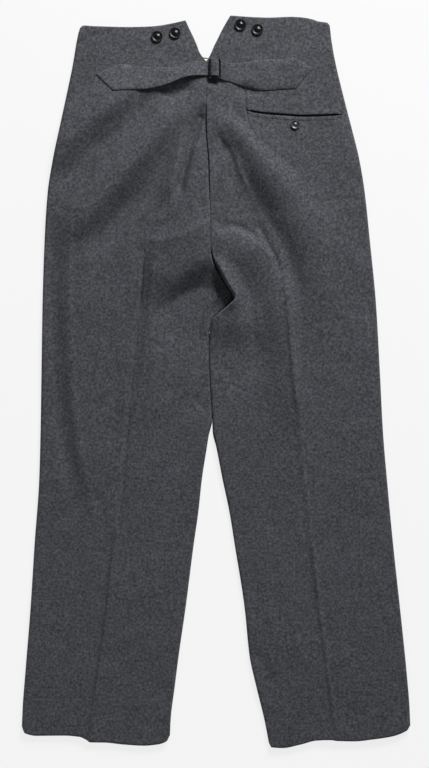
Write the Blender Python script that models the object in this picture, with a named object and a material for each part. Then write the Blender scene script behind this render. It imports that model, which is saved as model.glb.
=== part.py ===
"""High-backed heavy wool trousers, laid flat on their front with the back up.

Metres, +Z up, the waist towards +Y, the wearer's left leg on -X. The front panels lie on z = 0 and the back
panels lie over them. Sizes in the tables and formulas are millimetres, and MM turns them into metres when a
mesh is made.
"""

from collections import namedtuple

import bmesh
import bpy
import numpy as np

MM = 0.001

# Cloth and how its pieces meet.
CLOTH = 1.8  # one layer of milled wool
HEM_CLOTH = 2.8  # two pressed layers, where the leg end is turned up inside
HEM_DEPTH, HEM_STEP = 42.0, 8.0
SEAM_GAP = 0.3
FACING_CLOTH = 1.0
STRAP_CLOTH, LEFT_STRAP_CLOTH = 2.0, 2.3  # two thin layers sewn together
JET_CLOTH = 1.2

# Heights of the back panels' upper side. A swell is a bell with its height at its centre and its reach in x and y.
Swell = namedtuple("Swell", "height centre reach")
LEG_HEIGHT = 7.4
SEAT_SWELL = Swell(7.5, (-10.0, 235.0), (130.0, 115.0))
CINCH_SWELL = Swell(2.5, (-12.0, 435.0), (85.0, 60.0))
WAIST_HEIGHT = 5.6
WAIST_SLOPE = 45.0  # the length below the front's top edge over which the back comes down to WAIST_HEIGHT
PEAK_HEIGHT = 2.6  # the two back peaks reach past the front and lie on the ground
PEAK_SLOPE = 50.0
PEAK_CLEARANCE = 0.4
LAP = 2.0  # how far past the front's top edge the back still clears the front

# How the panels' edges turn down or up to their seams.
EDGE_ROLL = 4.0
FRONT_ROLL_INSIDE = 0.25
SEAM_GROOVE = 0.9
SEAM_GROOVE_ANGLE = 0.45  # radians
FLAT_EDGE_ANGLE = 0.02
BACK_FORK_Y, BACK_FORK_LENGTH = 200.0, 40.0  # where the seat seam's groove turns into the leg's full roll
FRONT_FORK_Y, FRONT_FORK_LENGTH = 110.0, 38.0
FULL_TURN_DOWN = 0.5 * np.pi

# Fineness of the panels.
ROLL_STEPS = 2
BACK_COLUMNS = 14
FRONT_COLUMNS = 6
FRONT_ROW_STEP = 3  # a front row for every third back row
NOTCH_ROWS = 7
LAST_ROWS_FROM, LAST_ROWS = -480.0, 5
FORK_TIP_Y = 124.8
Span = namedtuple("Span", "top bottom count")
ROW_SPANS = (
    Span(479.5, 200.0, 20),
    Span(200.0, 70.0, 13),
    Span(70.0, -59.0, 6),
    Span(-59.0, LAST_ROWS_FROM, 13),
)
END_SHAPE_REACH = 0.12  # the share of the length over which the top's or hem's curve fades out

Side = namedtuple("Side", "y left right")
SIDE_SEAMS = (
    Side(534.0, -204.4, 170.7),
    Side(509.0, -209.7, 173.7),
    Side(479.0, -214.5, 179.1),
    Side(428.0, -225.0, 191.3),
    Side(380.0, -235.2, 203.6),
    Side(332.0, -245.3, 215.3),
    Side(284.0, -252.9, 223.2),
    Side(212.0, -257.6, 230.9),
    Side(116.0, -260.7, 240.2),
    Side(20.0, -262.2, 245.7),
    Side(-76.0, -263.7, 250.7),
    Side(-148.0, -265.7, 256.7),
    Side(-244.0, -272.6, 265.8),
    Side(-340.0, -278.7, 276.2),
    Side(-436.0, -286.4, 286.1),
    Side(-493.0, -290.7, 290.7),
    Side(-517.0, -291.5, 291.5),
)

# The notch at the top of the back, down to the top of the seat seam.
NOTCH_WALLS = (
    Side(548.9, -49.0, 20.9),
    Side(541.5, -45.6, 16.5),
    Side(526.8, -38.9, 8.3),
    Side(514.8, -33.2, 2.6),
    Side(504.3, -28.7, -2.7),
    Side(493.8, -24.9, -7.1),
    Side(484.2, -18.5, -11.7),
)
INSIDE_LEGS = (
    Side(-76.2, -9.9, -5.3),
    Side(-100.2, -13.8, 0.3),
    Side(-148.2, -21.3, 9.6),
    Side(-196.2, -26.4, 19.8),
    Side(-244.2, -33.3, 27.5),
    Side(-340.2, -45.6, 42.6),
    Side(-412.2, -56.0, 50.0),
    Side(-460.2, -62.1, 60.5),
    Side(-508.2, -68.1, 72.3),
    Side(-542.0, -69.4, 78.8),
)

# The line where the two back panels, or the two front panels, meet above the legs.
Seam = namedtuple("Seam", "y x")
SEAT_SEAM = (
    Seam(479.5, -14.9),
    Seam(447.0, -14.4),
    Seam(377.0, -14.1),
    Seam(326.0, -10.2),
    Seam(242.0, -8.4),
    Seam(196.0, -8.0),
    Seam(184.4, -5.9),
    Seam(163.8, 4.8),
    Seam(145.4, 14.9),
    Seam(129.3, 24.8),
    Seam(FORK_TIP_Y, 26.0),
    Seam(113.3, 16.7),
    Seam(104.1, 5.3),
    Seam(91.4, -6.3),
    Seam(71.9, -9.8),
    Seam(35.0, -10.8),
    Seam(-10.8, -8.6),
    Seam(-59.0, -5.9),
)
FRONT_CENTRE_X = -8.0
FRONT_HEM_SHORTER = 0.6
FRONT_SEAM = (
    Seam(484.0, -7.6),
    Seam(110.0, -7.6),
    Seam(71.9, -9.8),
    Seam(35.0, -10.8),
    Seam(-10.8, -8.6),
    Seam(-59.0, -5.9),
)

Edge = namedtuple("Edge", "x y")
LEFT_TOP = (
    Edge(-208.0, 522.0),
    Edge(-206.7, 527.8),
    Edge(-198.2, 533.0),
    Edge(-181.7, 532.0),
    Edge(-134.1, 531.0),
    Edge(-107.3, 531.6),
    Edge(-88.2, 533.0),
    Edge(-72.8, 535.5),
    Edge(-45.6, 541.5),
)
RIGHT_TOP = (
    Edge(20.9, 548.9),
    Edge(58.4, 546.3),
    Edge(79.4, 545.7),
    Edge(111.9, 546.5),
    Edge(127.4, 545.4),
    Edge(143.0, 542.6),
    Edge(153.2, 539.1),
    Edge(167.0, 536.9),
    Edge(170.4, 534.0),
)
FRONT_TOP = (
    Edge(-207.0, 525.0),
    Edge(-150.0, 521.0),
    Edge(-100.0, 509.0),
    Edge(-50.0, 492.0),
    Edge(-8.0, 484.0),
    Edge(30.0, 489.0),
    Edge(80.0, 506.0),
    Edge(130.0, 524.0),
    Edge(170.0, 531.0),
)
LEFT_HEM = (
    Edge(-291.5, -518.0),
    Edge(-287.1, -527.0),
    Edge(-269.0, -531.0),
    Edge(-228.8, -530.6),
    Edge(-204.8, -532.5),
    Edge(-194.7, -537.0),
    Edge(-188.6, -540.8),
    Edge(-168.6, -541.0),
    Edge(-138.5, -544.0),
    Edge(-108.3, -545.7),
    Edge(-88.2, -544.0),
    Edge(-74.1, -539.0),
    Edge(-69.2, -531.0),
)
RIGHT_HEM = (
    Edge(78.9, -542.0),
    Edge(82.8, -548.1),
    Edge(99.9, -549.2),
    Edge(125.9, -544.2),
    Edge(149.9, -538.2),
    Edge(171.8, -537.2),
    Edge(181.8, -538.5),
    Edge(205.8, -539.1),
    Edge(235.8, -536.1),
    Edge(263.9, -531.8),
    Edge(285.8, -523.2),
    Edge(291.5, -516.2),
)

FOLD_LEGS = 24
FOLD_FADE, FOLD_END = 0.22, 0.25  # a fold dies away over this share of its length, to this share of its height
# A fold runs from its start through its middle to its end. Its height falls off over left_width to the left of
# that direction and over right_width to its right, and a trough has a negative height.
Fold = namedtuple("Fold", "start middle end left_width right_width height")
LEFT_FOLDS = (
    Fold((-99, 426), (-156, 372), (-225, 317), 26, 18, -4.5),
    Fold((-54, 407), (-110, 335), (-198, 236), 13, 28, 7.5),
    Fold((-29, 413), (-48, 350), (-65, 284), 9, 13, 4.5),
    Fold((-110, 203), (-66, 215), (-17, 236), 22, 11, 5.0),
    Fold((18, 137), (-17, 144), (-62, 114), 20, 18, -8.5),
    Fold((4, 140), (-6, 122), (-20, 95), 8, 8, 4.5),
    Fold((-234, 257), (-233, 24), (-192, -201), 10, 10, -2.0),
    Fold((-105, 200), (-143, -178), (-188, -538), 9, 14, 1.4),
    Fold((-114, 440), (-60, 449), (-6, 452), 12, 12, -3.0),
)
RIGHT_FOLDS = (
    Fold((3, 404), (69, 314), (135, 164), 24, 11, 8.5),
    Fold((15, 362), (51, 287), (103, 179), 12, 16, -4.5),
    Fold((18, 347), (18, 309), (9, 264), 10, 8, 2.0),
    Fold((-5, 224), (36, 213), (75, 179), 18, 9, 4.0),
    Fold((1, 191), (25, 155), (40, 113), 10, 10, 5.5),
    Fold((33, 194), (54, 152), (63, 69), 11, 11, -4.0),
    Fold((61, 231), (103, 122), (121, -66), 7, 10, 2.5),
    Fold((121, -66), (153, -313), (182, -538), 9, 12, 1.4),
    Fold((126, 197), (153, 77), (159, -58), 25, 25, -1.8),
    Fold((51, -403), (69, -430), (88, -463), 9, 9, -2.0),
    Fold((-11, 452), (13, 446), (43, 434), 10, 10, -2.0),
)

# The cinch straps: each has a pointed end sewn to its panel and runs to the buckle.
Strap = namedtuple("Strap", "x low high")
LEFT_STRAP = (
    Strap(-178.6, 458.8, 459.8),
    Strap(-168.0, 448.0, 465.3),
    Strap(-154.0, 434.3, 471.8),
    Strap(-144.7, 435.3, 474.9),
    Strap(-126.6, 436.3, 472.2),
    Strap(-108.6, 437.2, 470.4),
    Strap(-94.3, 439.2, 469.6),
    Strap(-75.0, 443.8, 469.0),
    Strap(-62.0, 448.9, 469.8),
    Strap(-51.7, 453.0, 472.2),
    Strap(-37.6, 456.6, 476.8),
    Strap(-24.0, 457.8, 478.8),
    Strap(-13.0, 458.0, 478.8),
    Strap(2.0, 458.1, 478.8),
)
RIGHT_STRAP = (
    Strap(5.9, 454.6, 481.4),
    Strap(8.0, 452.4, 481.0),
    Strap(12.0, 450.4, 478.6),
    Strap(22.0, 447.8, 475.8),
    Strap(35.6, 442.8, 476.4),
    Strap(50.6, 439.1, 478.8),
    Strap(62.9, 436.2, 480.3),
    Strap(81.6, 435.9, 481.8),
    Strap(100.2, 437.1, 483.3),
    Strap(120.0, 438.5, 484.8),
    Strap(131.3, 453.3, 477.0),
    Strap(144.6, 467.6, 468.6),
)
STRAP_LIFT = 0.5
STRAP_POINTS_ACROSS = 4
LEFT_STRAP_SEWN_TO = -119.0  # from its point to this x it lies on the panel, and from there it spans
LEFT_STRAP_END_X, LEFT_STRAP_END_HEIGHT = -13.0, 8.6  # its underside at the buckle
LEFT_STRAP_TILT = 3.2  # its lower edge stands this much higher half way along the span
RIGHT_STRAP_RISE_FROM, RIGHT_STRAP_RISE_TO = 34.0, 10.0

# The right strap's end, as a path of its middle line over the buckle's centre bar.
Loop = namedtuple("Loop", "x z")
STRAP_LOOP = (
    Loop(-8.0, 11.4),
    Loop(-8.0, 12.4),
    Loop(-6.6, 13.7),
    Loop(-4.6, 14.3),
    Loop(-2.0, 14.4),
    Loop(0.6, 14.2),
    Loop(2.4, 13.4),
    Loop(3.4, 12.0),
    Loop(4.4, 10.5),
)
LOOP_LOW = 454.6
LOOP_HIGH = 481.4
STRAP_AT_BUCKLE = 9.8

BUCKLE_BAR, BUCKLE_EDGE = 1.7, 0.35
BUCKLE_BARS_X = (-10.2, -2.0, 5.9)
BUCKLE_ENDS_Y = (452.9, 483.1)
BUCKLE_MIDDLE_Z = 12.2

Button = namedtuple("Button", "name x y radius")
BUTTONS = (
    Button("brace_button_1", -88.5, 516.9, 8.75),
    Button("brace_button_2", -61.5, 522.2, 8.75),
    Button("brace_button_3", 36.6, 535.1, 8.75),
    Button("brace_button_4", 62.3, 527.6, 8.75),
    Button("pocket_button", 118.4, 383.7, 7.0),
)
# The turned outline of a button, from the middle of its underside over the rim to its dish, for a radius of 1.
Turn = namedtuple("Turn", "r z")
BUTTON_OUTLINE = (
    Turn(0.42, 0.0),
    Turn(0.84, 0.06),
    Turn(1.0, 0.22),
    Turn(0.98, 0.32),
    Turn(0.86, 0.42),
    Turn(0.70, 0.39),
    Turn(0.54, 0.27),
    Turn(0.26, 0.24),
)
BUTTON_SIDES = 16
BUTTON_LIFT = 0.45

POCKET_MOUTH = (
    Edge(46.4, 406.3),
    Edge(71.1, 401.0),
    Edge(107.0, 398.7),
    Edge(129.9, 397.4),
    Edge(150.0, 398.4),
    Edge(187.4, 400.0),
)
MOUTH_HALF_GAP = 0.9
UPPER_JET_WIDTH = 6.0
LOWER_JET_WIDTH = 5.0
JET_COLUMNS = 12
JET_TAPER, JET_END_WIDTH = 8.0, 0.35  # the jets narrow to this share over their last millimetres

FLY_LEFT, FLY_RIGHT = -30.0, 12.0
FLY_TOP, FLY_BOTTOM = 445.0, 300.0
FACING_DEPTH = 35.0
FACING_BELOW_EDGE = 1.0
FACING_ENDS = (("left", -196.0, -8.2), ("right", -7.0, 160.0))
INNER_MARGIN = 12.0  # the back clears the pieces inside by a cloth's thickness this far round them

WOOL = ("milled_wool_melange", (0.075, 0.080, 0.095), 0.95, 0.0)
COTTON = ("cream_cotton_facing", (0.70, 0.66, 0.55), 0.9, 0.0)
BUTTON_BLACK = ("black_pressed_button", (0.012, 0.012, 0.013), 0.25, 0.0)
BUCKLE_BLACK = ("black_enamelled_steel", (0.03, 0.03, 0.03), 0.4, 0.6)


def ease(amount):
    """0 below 0, 1 above 1, and a smooth S between."""
    amount = np.clip(amount, 0.0, 1.0)
    return amount * amount * (3.0 - 2.0 * amount)


def through(at, known_at, known):
    """The smooth curve through the known values that never swings past them, read at each place."""
    order = np.argsort(known_at)
    x = np.asarray(known_at, float)[order]
    y = np.asarray(known, float)[order]
    step = np.diff(x)
    slope = np.diff(y) / step
    tangent = np.zeros(len(x))
    product = slope[:-1] * slope[1:]
    total = np.where(product > 0, slope[:-1] + slope[1:], 1.0)
    tangent[1:-1] = np.where(product > 0, 2.0 * product / total, 0.0)
    tangent[0], tangent[-1] = slope[0], slope[-1]
    at = np.clip(at, x[0], x[-1])
    i = np.clip(np.searchsorted(x, at) - 1, 0, len(x) - 2)
    t = (at - x[i]) / step[i]
    rise = y[i] * (1 + 2 * t) * (1 - t) ** 2 + y[i + 1] * t * t * (3 - 2 * t)
    lean = step[i] * (tangent[i] * t * (1 - t) ** 2 + tangent[i + 1] * t * t * (t - 1))
    return rise + lean


def read(table, at, column):
    """A table's column at any place along its first column."""
    return through(at, [row[0] for row in table], [getattr(row, column) for row in table])


def fold_height(x, y, fold):
    """Height that one fold adds: its middle line is a parabola, and its section a bell with two widths."""
    start, middle, end = (np.array(point, float) for point in (fold.start, fold.middle, fold.end))
    pull = 2.0 * middle - 0.5 * (start + end)
    t = np.linspace(0.0, 1.0, FOLD_LEGS + 1)[:, None]
    path = (1 - t) ** 2 * start + 2 * t * (1 - t) * pull + t * t * end
    points = np.stack([x, y], axis=-1)[..., None, :]
    legs = path[1:] - path[:-1]
    along = ((points - path[:-1]) * legs).sum(-1) / (legs**2).sum(-1)
    along = np.clip(along, 0.0, 1.0)
    away = points - path[:-1] - along[..., None] * legs
    distance = np.sqrt((away**2).sum(-1))
    nearest = distance.argmin(-1)[..., None]
    leg = legs[nearest[..., 0]]
    offset = np.take_along_axis(away, nearest[..., None], -2)[..., 0, :]
    left = leg[..., 0] * offset[..., 1] - leg[..., 1] * offset[..., 0] > 0
    width = np.where(left, fold.left_width, fold.right_width)
    near = np.take_along_axis(distance, nearest, -1)[..., 0]
    place = (nearest[..., 0] + np.take_along_axis(along, nearest, -1)[..., 0]) / len(legs)
    fade = ease(place / FOLD_FADE) * ease((1 - place) / FOLD_FADE)
    return fold.height * np.exp(-((near / width) ** 2)) * (FOLD_END + (1 - FOLD_END) * fade)


def swelling(x, y, swell):
    away_x = (x - swell.centre[0]) / swell.reach[0]
    away_y = (y - swell.centre[1]) / swell.reach[1]
    return swell.height * np.exp(-(away_x**2) - away_y**2)


def hem_share(y, hem):
    """1 in the turned-up leg end and 0 above it."""
    return 1.0 - ease((y - hem - HEM_DEPTH) / HEM_STEP + 0.5)


def back_height(x, y, side):
    """Height of a back panel's upper side over the ground, without its edges' rolls."""
    front_edge = read(FRONT_TOP, x, "y")
    height = LEG_HEIGHT + swelling(x, y, SEAT_SWELL) + swelling(x, y, CINCH_SWELL)
    height = height + (WAIST_HEIGHT - height) * ease(1.0 + (y - front_edge) / WAIST_SLOPE)
    height = height + (PEAK_HEIGHT - WAIST_HEIGHT) * ease((y - front_edge) / PEAK_SLOPE)
    for fold in LEFT_FOLDS if side == "left" else RIGHT_FOLDS:
        height = height + fold_height(x, y, fold)
    over_front = np.full_like(height, 2 * CLOTH + SEAM_GAP)
    by_fly_x = (x > FLY_LEFT - INNER_MARGIN) & (x < FLY_RIGHT + INNER_MARGIN)
    by_fly = by_fly_x & (y > FLY_BOTTOM - INNER_MARGIN) & (y < FLY_TOP + INNER_MARGIN)
    by_facing = y > front_edge - FACING_DEPTH - INNER_MARGIN
    clear = over_front + (CLOTH + SEAM_GAP) * by_fly
    clear = np.where(by_facing, over_front + FACING_CLOTH + SEAM_GAP, clear)
    clear = np.where(y > front_edge + LAP, CLOTH + PEAK_CLEARANCE, clear)
    return np.maximum(height, clear)


def seam_rows():
    """The rows' y at the inner edge, shared by both back panels so that their edges run side by side."""
    rows = [np.linspace(span.top, span.bottom, span.count, endpoint=False) for span in ROW_SPANS]
    rows = np.concatenate(rows)
    rows[abs(rows - FORK_TIP_Y).argmin()] = FORK_TIP_Y
    return rows


def sheet_normals(points):
    along = np.gradient(points, axis=0)
    across = np.gradient(points, axis=1)
    normal = np.cross(along, across)
    normal /= np.linalg.norm(normal, axis=-1, keepdims=True)
    return normal * np.sign(normal[..., 2].mean())


def inner_edge(table, y, side):
    """x of a panel's inner edge: the notch wall, the seam with its neighbour, then the inside leg."""
    walls = NOTCH_WALLS if table is SEAT_SEAM else ()
    known_y = [row.y for row in walls] + [row.y for row in table] + [row.y for row in INSIDE_LEGS]
    known_x = [getattr(row, side) for row in walls] + [row.x for row in table]
    known_x += [getattr(row, side) for row in INSIDE_LEGS]
    slope = through(y - 0.5, known_y, known_x) - through(y + 0.5, known_y, known_x)
    lean = np.sqrt(1.0 + slope**2)
    shift = 0.5 * SEAM_GAP * lean * (-1.0 if side == "left" else 1.0)
    return through(y, known_y, known_x) + shift


def panel_grid(side, table, top, hem, rows_below_notch, columns, height, roll):
    """The upper side of a panel as rows from the waist to the hem, with one spare column past each edge.

    roll gives, for an array of y, the inner edge's turn in radians, its radius and its drop, then the same
    three for the side seam.
    """
    way, inner, outer = (-1.0, -1, 0) if side == "left" else (1.0, 0, -1)
    notch_rows = np.linspace(top[inner].y, rows_below_notch[0], NOTCH_ROWS, endpoint=False)
    last_rows = np.linspace(LAST_ROWS_FROM, hem[inner].y, LAST_ROWS)
    y_inner = np.concatenate([notch_rows, rows_below_notch, last_rows])
    share = (y_inner[0] - y_inner) / (y_inner[0] - y_inner[-1])
    y_outer = top[outer].y + (hem[outer].y - top[outer].y) * share

    turns = np.arange(ROLL_STEPS + 1, -1, -1) / ROLL_STEPS
    rolled = len(turns)
    middle = np.linspace(0.0, 1.0, columns + 1)[1:-1]
    first_turns = np.concatenate([turns, 0.0 * middle, 0.0 * turns])
    last_turns = first_turns[::-1]
    between = np.concatenate([0.0 * turns, middle, 0.0 * turns + 1.0])
    y = np.repeat(y_inner[:, None], len(between), axis=1)
    for _ in range(2):
        inner_turn, inner_radius, _, outer_turn, outer_radius, _ = roll(y)
        x_inner = inner_edge(table, y, side)
        width = abs(read(SIDE_SEAMS, y, side) - x_inner)
        first = inner_radius * np.sin(inner_turn)
        last = width - outer_radius * np.sin(outer_turn)
        across = first + (last - first) * between
        across = across - inner_radius * np.sin(inner_turn * first_turns)
        across = across + outer_radius * np.sin(outer_turn * last_turns)
        u = np.clip(across / width, 0.0, 1.0)
        x = x_inner + way * across
        y = y_inner[:, None] * (1 - u) + y_outer[:, None] * u
        near_top = np.clip(1.0 - share / END_SHAPE_REACH, 0, 1)[:, None]
        near_hem = np.clip(1.0 - (1.0 - share) / END_SHAPE_REACH, 0, 1)[:, None]
        y = y + (read(top, x[0], "y") - y[0]) * near_top + (read(hem, x[-1], "y") - y[-1]) * near_hem
    x = inner_edge(table, y, side) + way * across

    z = height(x, y)
    inner_turn, _, inner_drop, outer_turn, _, outer_drop = roll(y)
    inner_fall = (1 - np.cos(inner_turn * first_turns)) / (1 - np.cos(inner_turn))
    outer_fall = (1 - np.cos(outer_turn * last_turns)) / (1 - np.cos(outer_turn))
    z = z - inner_drop(z, y) * inner_fall - outer_drop(z, y) * outer_fall
    return np.stack([x, y, z], axis=-1)


def back_panel(side):
    """A back panel: its upper side, and the same sheet moved in by the cloth's thickness."""
    top, hem = (LEFT_TOP, LEFT_HEM) if side == "left" else (RIGHT_TOP, RIGHT_HEM)
    hem_y = min(row.y for row in hem)

    def seam_level(y):
        return CLOTH + FRONT_ROLL_INSIDE + SEAM_GAP + (HEM_CLOTH - CLOTH) * hem_share(y, hem_y)

    def side_drop(z, y):
        return z - seam_level(y)

    def inner_drop(z, y):
        leg = ease((BACK_FORK_Y - y) / BACK_FORK_LENGTH)
        return SEAM_GROOVE + (side_drop(z, y) - SEAM_GROOVE) * leg

    def roll(y):
        leg = ease((BACK_FORK_Y - y) / BACK_FORK_LENGTH)
        turn = SEAM_GROOVE_ANGLE + (FULL_TURN_DOWN - SEAM_GROOVE_ANGLE) * leg
        full = np.full_like(y, FULL_TURN_DOWN)
        radius = np.full_like(y, EDGE_ROLL)
        return turn, radius, inner_drop, full, radius, side_drop

    grid = panel_grid(
        side, SEAT_SEAM, top, hem, seam_rows(), BACK_COLUMNS, lambda x, y: back_height(x, y, side), roll
    )
    thickness = CLOTH + (HEM_CLOTH - CLOTH) * hem_share(grid[..., 1], hem_y)
    under = grid - sheet_normals(grid) * thickness[..., None]
    return grid[:, 1:-1], under[:, 1:-1]


def front_panel(side):
    """A front panel: flat on the ground, with its side and inside leg turned up to meet the back."""
    hem = LEFT_HEM if side == "left" else RIGHT_HEM
    hem_y = min(row.y for row in hem)
    way = -1.0 if side == "left" else 1.0
    top = [row for row in FRONT_TOP if way * (row.x - FRONT_CENTRE_X) >= 0]
    hem = [Edge(row.x, row.y + FRONT_HEM_SHORTER) for row in hem]
    rows = seam_rows()[::FRONT_ROW_STEP]

    def thickness(y):
        return CLOTH + (HEM_CLOTH - CLOTH) * hem_share(y, hem_y)

    def side_drop(z, y):
        return z - thickness(y) - FRONT_ROLL_INSIDE

    def inner_drop(z, y):
        return side_drop(z, y) * ease((FRONT_FORK_Y - y) / FRONT_FORK_LENGTH)

    def roll(y):
        leg = ease((FRONT_FORK_Y - y) / FRONT_FORK_LENGTH)
        turn = FLAT_EDGE_ANGLE + (FULL_TURN_DOWN - FLAT_EDGE_ANGLE) * leg
        radius = thickness(y) + FRONT_ROLL_INSIDE
        return turn, radius, inner_drop, np.full_like(y, FULL_TURN_DOWN), radius, side_drop

    grid = panel_grid(side, FRONT_SEAM, top, hem, rows, FRONT_COLUMNS, lambda x, y: 0.0 * x, roll)
    upper = grid + sheet_normals(grid) * thickness(grid[..., 1])[..., None]
    return upper[:, 1:-1], grid[:, 1:-1]


def material(finish):
    name, colour, roughness, metallic = finish
    found = bpy.data.materials.get(name)
    if found:
        return found
    made = bpy.data.materials.new(name)
    made.use_nodes = True
    shader = made.node_tree.nodes["Principled BSDF"]
    shader.inputs["Base Color"].default_value = (*colour, 1.0)
    shader.inputs["Roughness"].default_value = roughness
    shader.inputs["Metallic"].default_value = metallic
    return made


def add_piece(name, points, faces, finish):
    """One named piece from points in millimetres, with its faces turned outward."""
    mesh = bpy.data.meshes.new(name)
    mesh.from_pydata((np.asarray(points) * MM).tolist(), [], [list(map(int, face)) for face in faces])
    shape = bmesh.new()
    shape.from_mesh(mesh)
    bmesh.ops.recalc_face_normals(shape, faces=shape.faces)
    shape.to_mesh(mesh)
    shape.free()
    mesh.materials.append(material(finish))
    mesh.shade_smooth()
    mesh.set_sharp_from_angle(angle=np.radians(50))
    piece = bpy.data.objects.new(name, mesh)
    bpy.context.collection.objects.link(piece)
    return piece


def add_wall(name, upper, under, finish):
    """A piece of cloth: two grids of points joined round their four edges."""
    rows, columns = upper.shape[:2]
    index = np.arange(rows * columns).reshape(rows, columns)
    quads = np.stack([index[:-1, :-1], index[1:, :-1], index[1:, 1:], index[:-1, 1:]], axis=-1).reshape(-1, 4)
    rim = np.concatenate([index[0, :-1], index[:-1, -1], index[-1, :0:-1], index[:0:-1, 0]])
    after = np.roll(rim, -1)
    low = rows * columns
    sides = np.stack([rim, after, after + low, rim + low], axis=-1)
    points = np.concatenate([upper.reshape(-1, 3), under.reshape(-1, 3)])
    return add_piece(name, points, np.concatenate([quads, quads[:, ::-1] + low, sides]), finish)


def strip_grid(table, across):
    """x and y of a strap: a row for each line of its table, and columns from its low edge to its high edge."""
    x = np.array([row.x for row in table], float)
    low = np.array([row.low for row in table])
    high = np.array([row.high for row in table])
    t = np.linspace(0.0, 1.0, across)
    return np.repeat(x[:, None], across, axis=1), low[:, None] + (high - low)[:, None] * t, t


def add_left_strap():
    """The strap that spans the hollow at the seat seam and ends under the buckle."""
    x, y, t = strip_grid(LEFT_STRAP, STRAP_POINTS_ACROSS)
    panel = np.where(x < SEAT_SEAM[0].x, back_height(x, y, "left"), back_height(x, y, "right"))
    span = np.clip((x - LEFT_STRAP_SEWN_TO) / (LEFT_STRAP_END_X - LEFT_STRAP_SEWN_TO), 0.0, 1.0)
    start = back_height(np.full_like(y, LEFT_STRAP_SEWN_TO), y, "left") + STRAP_LIFT
    line = start + (LEFT_STRAP_END_HEIGHT - start) * ease(span)
    tilt = LEFT_STRAP_TILT * np.sin(np.pi * span) * (1.0 - t)
    under = np.maximum(panel + STRAP_LIFT, np.where(span > 0, line + tilt, 0.0))
    under = np.where(span >= 1.0, LEFT_STRAP_END_HEIGHT, under)
    grid = np.stack([x, y, under], axis=-1)
    add_wall("strap_left", grid + [0.0, 0.0, LEFT_STRAP_CLOTH], grid, WOOL)


def add_right_strap():
    """The strap with the looped end: over the centre bar, under the buckle's side, then along its panel."""
    x, y, t = strip_grid(RIGHT_STRAP, STRAP_POINTS_ACROSS)
    lying = back_height(x, y, "right") + STRAP_LIFT + 0.5 * STRAP_CLOTH
    rise = ease((RIGHT_STRAP_RISE_FROM - x) / (RIGHT_STRAP_RISE_FROM - RIGHT_STRAP_RISE_TO))
    z = lying + (STRAP_AT_BUCKLE - lying) * rise
    flat = np.stack([x, y, z], axis=-1)
    loop_y = LOOP_LOW + (LOOP_HIGH - LOOP_LOW) * t
    loop = [np.stack([np.full_like(t, row.x), loop_y, np.full_like(t, row.z)], axis=-1) for row in STRAP_LOOP]
    middle = np.concatenate([np.array(loop), flat])
    along = np.gradient(middle, axis=0)
    across = np.gradient(middle, axis=1)
    normal = np.cross(along, across)
    normal /= np.linalg.norm(normal, axis=-1, keepdims=True)
    half = 0.5 * STRAP_CLOTH * normal
    add_wall("strap_right", middle + half, middle - half, WOOL)


def add_buckle():
    """A flat frame with a centre bar: the outline's cells without its two windows, then given its thickness."""
    half = 0.5 * BUCKLE_BAR
    x = [edge for bar in BUCKLE_BARS_X for edge in (bar - half, bar + half)]
    y = [edge for end in BUCKLE_ENDS_Y for edge in (end - half, end + half)]
    shape = bmesh.new()
    corners = {(i, j): shape.verts.new((x[i] * MM, y[j] * MM, 0.0)) for i in range(6) for j in range(4)}
    for i in range(5):
        for j in range(3):
            if (i, j) not in ((1, 1), (3, 1)):
                shape.faces.new([corners[i, j], corners[i + 1, j], corners[i + 1, j + 1], corners[i, j + 1]])
    grown = bmesh.ops.extrude_face_region(shape, geom=shape.faces[:])
    top = [item for item in grown["geom"] if isinstance(item, bmesh.types.BMVert)]
    bmesh.ops.translate(shape, vec=(0, 0, BUCKLE_BAR * MM), verts=top)
    bmesh.ops.translate(shape, vec=(0, 0, (BUCKLE_MIDDLE_Z - half) * MM), verts=shape.verts[:])
    bmesh.ops.recalc_face_normals(shape, faces=shape.faces)
    mesh = bpy.data.meshes.new("buckle")
    shape.to_mesh(mesh)
    shape.free()
    mesh.materials.append(material(BUCKLE_BLACK))
    piece = bpy.data.objects.new("buckle", mesh)
    bpy.context.collection.objects.link(piece)
    bevel = piece.modifiers.new("rounded_bars", "BEVEL")
    bevel.width = BUCKLE_EDGE * MM
    bevel.segments = 1
    bevel.limit_method = "ANGLE"


def add_button(button):
    """A turned button that lies on its panel, tilted as the panel is."""
    side = "left" if button.x < 0 else "right"
    reach = 0.5 * button.radius
    at_x = button.x + reach * np.array([0.0, 1.0, -1.0, 0.0, 0.0])
    at_y = button.y + reach * np.array([0.0, 0.0, 0.0, 1.0, -1.0])
    height = back_height(at_x, at_y, side)
    up = np.array([height[2] - height[1], height[4] - height[3], 2.0 * reach])
    up /= np.linalg.norm(up)
    east = np.cross([0.0, 1.0, 0.0], up)
    east /= np.linalg.norm(east)
    north = np.cross(up, east)
    centre = np.array([button.x, button.y, height[0]]) + BUTTON_LIFT * up
    turn = np.linspace(0.0, 2.0 * np.pi, BUTTON_SIDES, endpoint=False)
    ring = np.cos(turn)[:, None] * east + np.sin(turn)[:, None] * north
    points = [centre + button.radius * (step.r * ring + step.z * up) for step in BUTTON_OUTLINE]
    index = np.arange(len(points) * BUTTON_SIDES).reshape(-1, BUTTON_SIDES)
    after = np.roll(index, -1, axis=1)
    sides = np.stack([index[:-1], after[:-1], after[1:], index[1:]], axis=-1).reshape(-1, 4)
    add_piece(button.name, np.concatenate(points), [*sides, index[0][::-1], index[-1]], BUTTON_BLACK)


def add_flat_strip(name, x, low, high, floor, thickness, finish):
    """A strip of even thickness on a given floor, three points across."""
    t = np.linspace(0.0, 1.0, 3)
    x = np.repeat(x[:, None], 3, axis=1)
    y = low[:, None] + (high - low)[:, None] * t
    under = np.stack([x, y, floor(x, y)], axis=-1)
    add_wall(name, under + [0.0, 0.0, thickness], under, finish)


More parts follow.
